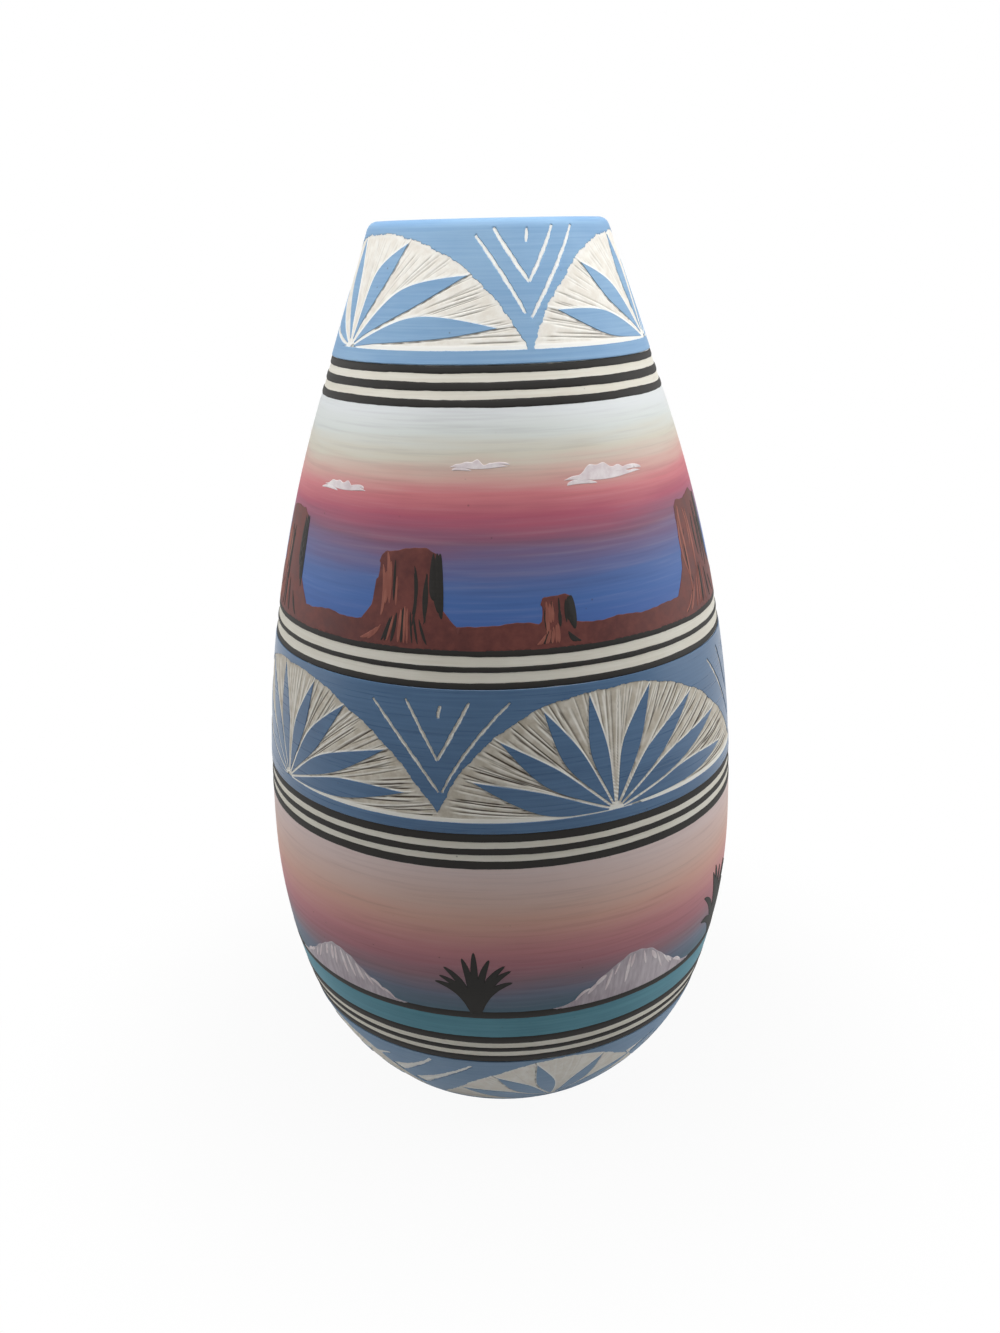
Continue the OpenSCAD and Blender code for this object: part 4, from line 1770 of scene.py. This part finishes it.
@dataclass
class UpperPicture(Picture):
    """A dusk sky over flat-topped rocks, with streaks of cloud.

    Attributes:
        land_h: Height of the land between the rocks.
        seam: Angle at which the land closes on itself, in degrees.
        mesas: The rocks.
        flank: A rock's outline from right to left, as shares of its half width and height.
        clouds: Angle in degrees, share of the picture's height, and size of each cloud.
        cloud_l: Length of a cloud of size 1.
        cloud_h: Height of a cloud of size 1.
    """

    node: str = "upper_sky"
    tones: tuple[Colour, ...] = (tone(205, 200, 206), tone(232, 226, 226))
    stops: tuple[tuple[float, Colour], ...] = (
        (0.1, tone(76, 108, 172)), (0.2, tone(78, 112, 174)), (0.28, tone(86, 112, 168)),
        (0.37, tone(112, 106, 146)), (0.455, tone(132, 95, 119)), (0.545, tone(178, 94, 113)),
        (0.63, tone(209, 128, 133)), (0.72, tone(215, 179, 168)), (0.805, tone(216, 211, 196)),
        (0.89, tone(221, 226, 222)), (0.98, tone(227, 231, 232)))
    sky_seed: int = 4
    seed: int = 21
    land_h: float = 5.5 * MM
    seam: float = 205.0
    mesas: Sequence[Mesa] = tuple(Mesa(angle, half, 30 * MM * size) for angle, half, size in (
        (-22, 17, 0.8), (14, 8, 0.42), (66, 20, 1.0), (118, 13, 0.6), (176, 24, 0.85), (236, 12, 0.5),
        (290, 19, 0.95)))
    flank: Sequence[tuple[float, float]] = (
        (1, 0), (0.66, 0.3), (0.52, 0.42), (0.48, 0.94), (0.3, 1), (-0.36, 0.97), (-0.46, 0.9), (-0.54, 0.4),
        (-0.74, 0.2), (-1, 0))
    clouds: Sequence[tuple[float, float, float]] = (
        (-46, 0.64, 0.7), (-4, 0.76, 0.6), (32, 0.69, 1.0), (102, 0.71, 0.8), (148, 0.78, 1.0),
        (205, 0.67, 0.7), (262, 0.8, 0.9))
    cloud_l: float = 24 * MM
    cloud_h: float = 2.6 * MM

    def land(self) -> Piece:
        """The strip of land with its rocks, in one coat.

        Returns:
            The piece.
        """
        turn = np.radians(np.linspace(self.seam - 360, self.seam, 1400))
        top = np.full_like(turn, self.land_h)
        across, up = np.array(self.flank)[::-1].T
        for mesa in self.mesas:
            away = (np.degrees(turn) - mesa.angle + 180) % 360 - 180
            top = np.maximum(top, np.interp(away / mesa.half, across, up * mesa.height, 0, 0))
        along = (turn - turn[0]) * self.low_r
        top = top + wander(along, reach=0.5 * MM, wave=14 * MM, rng=self.rng)
        top = top + wander(along, reach=0.12 * MM, wave=3 * MM, rng=self.rng)
        foot, end = self.low - UNDERLAP, self.low + top[0]
        ground = np.vstack([paired(turn[::8], foot), [turn[-1], foot]])
        skyline = np.vstack([paired(turn, self.low + top)[::2], [turn[-1], end]])
        rise = np.linspace(foot, end, 8)[1:-1]
        work = FlatWork(self.shape)
        work.cut(np.vstack([ground, paired(turn[-1], rise), skyline[::-1], paired(turn[0], rise[::-1])]),
                 self.second, seam=True)
        return self.wrapper.sheet("upper_land_brushed", work, LAND)

    def mesa_strokes(self, strokes: RockStrokes) -> Piece:
        """Brush strokes down all the rocks, as one piece.

        Args:
            strokes: Which strokes.

        Returns:
            The piece.
        """
        work = FlatWork(self.shape)
        for mesa in self.mesas:
            half, tall = math.radians(mesa.half) * self.low_r, mesa.height
            lines = [(2.0, [(spot * half, 0.95 * tall), ((spot + 0.02) * half, 0.6 * tall),
                            ((spot + 0.07) * half, low * tall)]) for spot, low in strokes.edge]
            for spot in self.rng.uniform(*strokes.cliff, 5):
                high = self.rng.uniform(0.7, 0.95) * tall
                drop = self.rng.uniform(0.3, 0.55) * tall
                lean = self.rng.normal(0, 0.03) * half
                lines.append((self.rng.uniform(0.6, 1.3), [
                    (spot * half, high), (spot * half + lean, high - drop / 2), (spot * half, high - drop)]))
            for spot in self.rng.uniform(*strokes.scree, 7):
                high = 0.36 * tall * (1 - abs(spot)) + 1.2 * MM
                lines.append((self.rng.uniform(0.6, 1.1), [
                    (0.62 * spot * half, high), (0.8 * spot * half, 0.5 * high), (spot * half, 0.8 * MM)]))
            loops = [stroke(line, width * MM, tip=0.12) for width, line in lines]
            self.paint(work, loops, mesa.angle, self.low, strokes.rise, low=0.1 * MM, step=0.003 * MM)
        return self.wrapper.sheet(strokes.name, work, strokes.finish)

    def cloud_loop(self, length: float, thick: float) -> Array:
        """Outline of a cloud: an uneven top over a flatter base, drawn out to a point at each end.

        Args:
            length: Its length.
            thick: Its height.

        Returns:
            A closed line of x and y.
        """
        across = np.linspace(1, -1, 64)
        puffs = 1 + wander(np.linspace(0, length, len(across)), reach=0.4, wave=0.2 * length, rng=self.rng)
        top = thick * np.clip(puffs, 0.15, None) * (1 - np.abs(across) ** 1.3)
        base = -0.3 * thick * (1 - across ** 2) ** 2
        return np.vstack([paired(across * length / 2, top), paired(across * length / 2, base)[::-1][1:-1]])

    def cloud_group(self) -> Piece:
        """Clouds, each with two thinner streaks beside it.

        Returns:
            The piece.
        """
        work = FlatWork(self.shape)
        for angle, share, size in self.clouds:
            length, thick = self.cloud_l * size, self.cloud_h * size
            loops = [self.cloud_loop(length, thick)]
            for side, drop in ((-1, 0.5), (1, -0.25)):
                reach = self.rng.uniform(0.45, 0.6) * length
                level = -drop * thick
                line = [(side * 0.12 * length, level), (side * 0.35 * length, level + 0.25 * thick),
                        (side * reach, level)]
                loops.append(stroke(line, width=0.42 * thick, tip=0.05))
            height = self.low + share * (self.high - self.low)
            self.paint(work, loops, angle, height, low=0.05 * MM, step=0.006 * MM)
        return self.wrapper.sheet("upper_clouds_brushed", work, WHITE)

    def build(self) -> list[Piece]:
        """Builds the sky, then what is painted over it.

        Returns:
            The pieces.
        """
        return self.sky() + [
            placed(self.land(), LAND, "upper_land"),
            *(placed(self.mesa_strokes(strokes), strokes.finish) for strokes in (SHADE, LIGHT)),
            placed(self.cloud_group(), WHITE, "upper_clouds"),
        ]


@dataclass
class LowerPicture(Picture):
    """An evening sky over pale hills, with spiky plants in front.

    Attributes:
        hills: Angle and half width in degrees, and size of each hill.
        hill_h: Height of a hill of size 1.
        plants: Angle in degrees, and size of each plant.
        plant_h: Height of a plant of size 1.
        leaves: Number of a plant's leaves.
        spread: How far its outer leaves lean, in radians.
    """

    node: str = "lower_sky"
    tones: tuple[Colour, ...] = (tone(205, 198, 200), tone(226, 214, 210))
    stops: tuple[tuple[float, Colour], ...] = (
        (0.02, tone(82, 106, 122)), (0.13, tone(108, 116, 134)), (0.23, tone(140, 114, 124)),
        (0.34, tone(172, 118, 127)), (0.45, tone(192, 132, 136)), (0.55, tone(206, 152, 146)),
        (0.66, tone(214, 169, 155)), (0.77, tone(216, 184, 172)), (0.87, tone(218, 192, 184)),
        (0.98, tone(220, 201, 197)))
    sky_seed: int = 5
    seed: int = 31
    sky_rows: int = 26
    hills: Sequence[tuple[float, float, float]] = (
        (-44, 20, 0.9), (32, 21, 1.0), (100, 18, 0.7), (164, 20, 0.9), (226, 17, 0.65), (274, 14, 0.55))
    hill_h: float = 13 * MM
    plants: Sequence[tuple[float, float]] = ((-7, 0.85), (67, 1.0), (131, 0.8), (196, 0.75), (251, 0.5))
    plant_h: float = 24 * MM
    leaves: int = 9
    spread: float = math.radians(52)

    def hill_group(self) -> Piece:
        """Pale hills, each a smooth hump with an uneven crest.

        Returns:
            The piece.
        """
        work = FlatWork(self.shape)
        for angle, half, size in self.hills:
            wide = math.radians(half) * self.low_r
            across = np.linspace(1, -1, 70)
            crest = self.hill_h * size * np.cos(across * math.pi / 2) ** 2
            uneven = wander(np.linspace(0, 2 * wide, len(across)), reach=0.35 * MM, wave=4 * MM, rng=self.rng)
            crest += uneven * (1 - across ** 2)
            foot = np.linspace(-1, 1, 40)[1:-1]
            loop = np.vstack([paired(across * wide, crest), paired(foot * wide, -UNDERLAP)])
            self.paint(work, [loop], angle, self.low)
        return self.wrapper.sheet("lower_hills_brushed", work, HILL)

    def hill_streaks(self, count: int = 13) -> Piece:
        """Streaks of thicker white down the hills, from the crest outwards.

        Args:
            count: Number of streaks on each hill.

        Returns:
            The piece.
        """
        work = FlatWork(self.shape)
        for angle, half, size in self.hills:
            wide, tall = math.radians(half) * self.low_r, self.hill_h * size
            loops = []
            for spot in np.linspace(-0.62, 0.62, count) + self.rng.normal(0, 0.03, count):
                crest = tall * math.cos(spot * math.pi / 2) ** 2
                run = (0.1 + 0.5 * abs(spot)) * self.rng.uniform(0.5, 1.0) * math.copysign(1, spot)
                fall = crest * self.rng.uniform(0.35, 0.75)
                end = (spot + run * 0.5) * wide
                floor = tall * math.cos(min(1, abs(end / wide)) * math.pi / 2) ** 2
                line = [(spot * wide, crest - 0.5 * MM), ((spot * wide + end) / 2, crest - 0.55 * fall),
                        (end, min(crest - fall, floor - 0.4 * MM))]
                loops.append(stroke(line, self.rng.uniform(0.6, 1.5) * MM, tip=0.1))
            self.paint(work, loops, angle, self.low, rise=0.02 * MM, low=0.1 * MM, step=0.003 * MM)
        return self.wrapper.sheet("lower_hills_streaks", work, WHITE)

    def plant_group(self) -> Piece:
        """Spiky plants: curved leaves that spread from one root.

        Returns:
            The piece.
        """
        work = FlatWork(self.shape)
        for angle, size in self.plants:
            height = self.plant_h * size
            loops = []
            for lean in np.linspace(-self.spread, self.spread, self.leaves):
                lean += self.rng.normal(0, 0.05)
                length = height * (0.62 + 0.38 * math.cos(1.6 * lean)) * self.rng.uniform(0.9, 1.05)
                tip = (math.sin(lean) * length, math.cos(lean) * length)
                bend = (math.sin(0.75 * lean) * length * 0.5, math.cos(0.75 * lean) * length * 0.55)
                loops.append(stroke([(0.12 * tip[0], -0.6 * MM), bend, tip], width=0.1 * height, tip=0.06))
            self.paint(work, loops, angle, self.low, rise=0.02 * MM, step=0.004 * MM)
        return self.wrapper.sheet("lower_plants_brushed", work, INK)

    def build(self) -> list[Piece]:
        """Builds the sky, then what is painted over it.

        Returns:
            The pieces.
        """
        return self.sky() + [
            placed(self.hill_group(), HILL, "lower_hills"),
            placed(self.hill_streaks(), WHITE),
            placed(self.plant_group(), INK, "lower_plants"),
        ]


@dataclass(frozen=True)
class Lamp:
    """A soft panel of light: its place, what it faces, its size and its power."""

    name: str
    place: tuple[float, float, float]
    size: tuple[float, float]
    watts: float
    aim: tuple[float, float, float]

    def build(self) -> None:
        """Makes the lamp."""
        data = bpy.data.lights.new(self.name, "AREA")
        data.shape = "RECTANGLE"
        data.size, data.size_y = self.size
        data.energy = self.watts
        lamp = shown(self.name, data)
        lamp.location = self.place
        way = Vector(self.aim) - Vector(self.place)
        lamp.rotation_euler = way.to_track_quat("-Z", "Y").to_euler()


@dataclass(frozen=True)
class Studio:
    """Camera, lamps and a white sweep, at the photograph's viewing angle.

    Attributes:
        focal_px: Focal length, in pixels of a frame that is frame_h pixels high.
        frame_h: Height of that frame.
        sensor: Height of the camera's film, in millimetres.
        eye: Place of the camera.
        pitch: How far it looks down, in degrees.
        roll: How far it is turned about its own axis, in degrees.
        clip: Distance from which it sees.
        floor_r: Radius of the floor.
        floor_sides: Number of its sides.
        near: Distance from the vase up to which the floor shows its own shade.
        far: Distance beyond which the floor is plain white.
        veil: How white the floor looks beside the vase.
        sky_level: Brightness of the surroundings as a light.
        lamps: The lamps.
    """

    focal_px: float = 1250.0
    frame_h: float = 1333.0
    sensor: float = 36.0
    eye: tuple[float, float, float] = (0.465 * MM, -352.64 * MM, 245.93 * MM)
    pitch: float = 19.037
    roll: float = -1.33
    clip: float = 0.01
    floor_r: float = 6.0
    floor_sides: int = 96
    near: float = 0.06
    far: float = 0.17
    veil: float = 0.94
    sky_level: float = 0.09
    lamps: tuple[Lamp, ...] = (
        Lamp("top_panel", (0.0, -0.1, 0.5), (0.4, 0.3), 1.45, (0.0, 0.0, 0.2)),
        Lamp("left_panel", (-0.6, 0.05, 0.32), (0.4, 0.5), 1.4, (0.0, 0.0, 0.15)),
        Lamp("right_panel", (0.6, 0.05, 0.32), (0.4, 0.5), 2.0, (0.0, 0.0, 0.15)),
    )

    def camera(self) -> None:
        """Makes the camera."""
        data = bpy.data.cameras.new("camera")
        data.sensor_width = self.sensor
        data.lens = self.sensor * self.focal_px / self.frame_h
        data.clip_start = self.clip
        camera = shown("camera", data)
        tilt = Matrix.Rotation(math.radians(90 - self.pitch), 4, "X")
        spin = Matrix.Rotation(math.radians(self.roll), 4, "Z")
        camera.matrix_world = Matrix.Translation(self.eye) @ tilt @ spin
        bpy.context.scene.camera = camera

    def floor(self) -> None:
        """Makes the floor, pale near the vase and white farther off."""
        turn = np.linspace(0, TURN, self.floor_sides, endpoint=False)
        rim = np.column_stack([np.cos(turn), np.sin(turn), np.zeros(len(turn))]) * self.floor_r
        mesh = bpy.data.meshes.new("floor")
        mesh.from_pydata(rim.tolist(), [], [list(range(len(rim)))])
        floor = shown("floor", mesh)
        material = bpy.data.materials.new("white_sweep")
        net = Net.of(material)
        away = net.node("ShaderNodeVectorMath", {"operation": "LENGTH"},
                        {0: net.node("ShaderNodeTexCoord", out="Object")}, out="Value")
        pale = net.node("ShaderNodeBsdfDiffuse", None, {"Color": tone(205, 205, 205)})
        white = net.node("ShaderNodeEmission", None, {"Color": (1, 1, 1, 1), "Strength": 1.0})
        share = (self.veil + net.smooth(away, self.near, self.far) * (1 - self.veil)) * self.seen(net)
        surface = net.node("ShaderNodeMixShader", None, {0: share, 1: pale, 2: white})
        net.node("ShaderNodeOutputMaterial", None, {"Surface": surface})
        mesh.materials.append(material)

    @staticmethod
    def seen(net: Net) -> Sock:
        """1 for rays that show the backdrop itself: from the camera, in gloss or through glass.

        Args:
            net: A net of the floor or the world.

        Returns:
            1 or 0.
        """
        ray = net.node("ShaderNodeLightPath", out="Is Camera Ray")
        through = net.math("MAXIMUM", ray.out("Is Glossy Ray"), ray.out("Is Transmission Ray"))
        return net.math("MAXIMUM", ray, through)

    def world(self) -> None:
        """Makes the surroundings: white to look at, and dimmer as a light."""
        world = bpy.data.worlds.new("white_room")
        net = Net.of(world)
        level = self.sky_level + self.seen(net) * (1 - self.sky_level)
        light = net.node("ShaderNodeBackground", None, {"Color": (1, 1, 1, 1), "Strength": level})
        net.node("ShaderNodeOutputWorld", None, {"Surface": light})
        bpy.context.scene.world = world

    def build(self) -> None:
        """Sets the scene round the vase."""
        bpy.context.scene.view_settings.view_transform = "Standard"
        self.world()
        self.floor()
        self.camera()
        for lamp in self.lamps:
            lamp.build()


# Chevron cuts of the three bands
NECK_CHEVRONS = (
    ((-18.7, 26.4), (-8.6, 17.6), (-0.5, 8.2)), ((-11.1, 28.1), (2.0, 15.5)), ((15.9, 28.5), (2.0, 15.5)),
    ((26.3, 28.5), (12.6, 17.4), (1.5, 7.3)), ((3.6, 28.0), (2.6, 24.7)))
MIDDLE_CHEVRONS = (
    ((-15.4, 30.1), (-7.2, 19.4), (0.5, 7.7)), ((-7.2, 31.3), (0.3, 16.0)), ((7.5, 31.1), (0.3, 16.0)),
    ((16.5, 31.0), (7.6, 19.8), (1.2, 7.7)), ((0.9, 30.0), (0.4, 26.8)))
FOOT_CHEVRONS = (
    ((-3.0, 7.5), (8.5, 15.8), (17.2, 22.2)), ((-9.0, 12.6), (0.0, 18.2), (6.1, 23.3)),
    ((-18.0, 14.8), (-8.6, 19.3)))


def fan_bands(wrapper: Wrapper) -> list[FanBand]:
    """The three bands of fans, from the neck down.

    Args:
        wrapper: Lays the work round the vase.

    Returns:
        The bands.
    """
    left_neck = ((59.3, 5.0), (48.7, 17.3), (20.7, 24.9), (-15, 26), (-47, 18), (-60, 6))
    right_neck = ((54, 7.0), (42, 16.5), (22, 24), (-7.7, 26), (-35.5, 19.6), (-50.7, 8.8))
    back_neck = tuple((0.78 * turn, up) for turn, up in right_neck)
    even = ((37.6, 6.7), (32.7, 17.2), (21.4, 26.7), (10.4, 29.9), (-4.4, 31), (-17, 28.5), (-28, 20.5),
            (-37, 8))
    lopsided = ((33.5, 5.2), (30.2, 16), (19.5, 24.6), (5.7, 30.7), (-10.5, 30.9), (-21.2, 28.1), (-31, 21),
                (-37, 10.7))
    sparse = ((35, 5.3), (25.7, 13.4), (12.4, 20.7), (-6.9, 22.3), (-18.1, 16.6), (-29.3, 8.9))
    shape = wrapper.shape
    neck = FanBand(
        wrapper, "neck", NECK_SLIP, NECK_BARE,
        (Fan(-57, 69.2, left_neck, root=-2.6, lean=0.33), Fan(76, 61.4, right_neck, root=-2.4),
         Fan(186, 47.3, back_neck)),
        NECK_CHEVRONS, base=219.5 * MM, rise=27.1 * MM, high=shape.height + shape.wall * math.pi / 4 + 3 * MM,
        petal_w=10.4 * MM, groove_w=0.8 * MM, seed=3, head=2.45, ends=1.36, scrape_pitch=1.2 * MM,
        scrape=0.55, ragged=0.24 * MM, rim_fresh=0.8, cut_fresh=0.9, tail=4.5 * MM, pitch=0.9 * MM)
    middle = FanBand(
        wrapper, "middle", MIDDLE_SLIP, MIDDLE_BARE,
        tuple(fan for turn in (-59, 121) for fan in (
            Fan(turn, 45.9, even, lean=0.08),
            Fan(turn + 90, 45.9, lopsided, root=-5.3, lean=0.2, skew=-4.5))),
        MIDDLE_CHEVRONS, base=106.0 * MM, rise=32.0 * MM, high=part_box("middle_slip_band")[1].z,
        petal_w=8.4 * MM, groove_w=0.6 * MM, seed=6, cut_w=1.0 * MM)
    foot = FanBand(
        wrapper, "foot", FOOT_SLIP, NECK_BARE,
        tuple(Fan(turn, half, sparse, root=1.5, skew=skew)
              for turn, half, skew in ((15, 41, 0), (104, 46, 0), (195, 43, 0), (286, 46, 12))),
        FOOT_CHEVRONS, base=4.2 * MM, rise=24.3 * MM, high=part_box("foot_slip_band")[1].z,
        petal_w=7.5 * MM, groove_w=0.6 * MM, seed=9, head=1.85, ends=0.95, widest=math.radians(34),
        cut_w=1.05 * MM, scrape_pitch=2.4 * MM, scrape=0.35, rim_fresh=0.5, cut_fresh=0.8, flare=4.0)
    return [neck, middle, foot]


def main() -> None:
    """Builds the vase piece by piece, then the studio round it."""
    logging.basicConfig(level=logging.INFO, format="%(message)s")
    wrapper = Wrapper(VaseShape())
    work: list[Any] = [ClayBody(wrapper), *fan_bands(wrapper)]
    work += [PaintedRings(wrapper, name + "_lines", INK, width=width * MM, slim=slim, seed=seed)
             for name, width, slim, seed in (("neck", 2.1, 0.96, 11), ("waist", 1.75, 0.8, 12),
                                             ("belly", 2.2, 0.74, 13), ("foot", 2.65, 0.66, 14))]
    work += [
        UpperPicture(wrapper),
        LowerPicture(wrapper),
        PaintedRings(wrapper, "ground_line", INK, rings=1, wobble=0.3 * MM, seed=15),
        PaintedRings(wrapper, "turquoise_strip", TURQUOISE, rings=1, wobble=0.1 * MM, coat=0.12 * MM,
                     dome=60.0, rows=9, overlap=0.4 * MM, seed=16),
    ]
    pieces = [piece for part in work for piece in part.build()]
    wrapper.clear()
    Studio().build()
    faces = sum(len(piece.data.polygons) for piece in pieces)
    LOG.info("%d pieces, %d faces", len(pieces), faces)


if __name__ == "__main__":
    main()
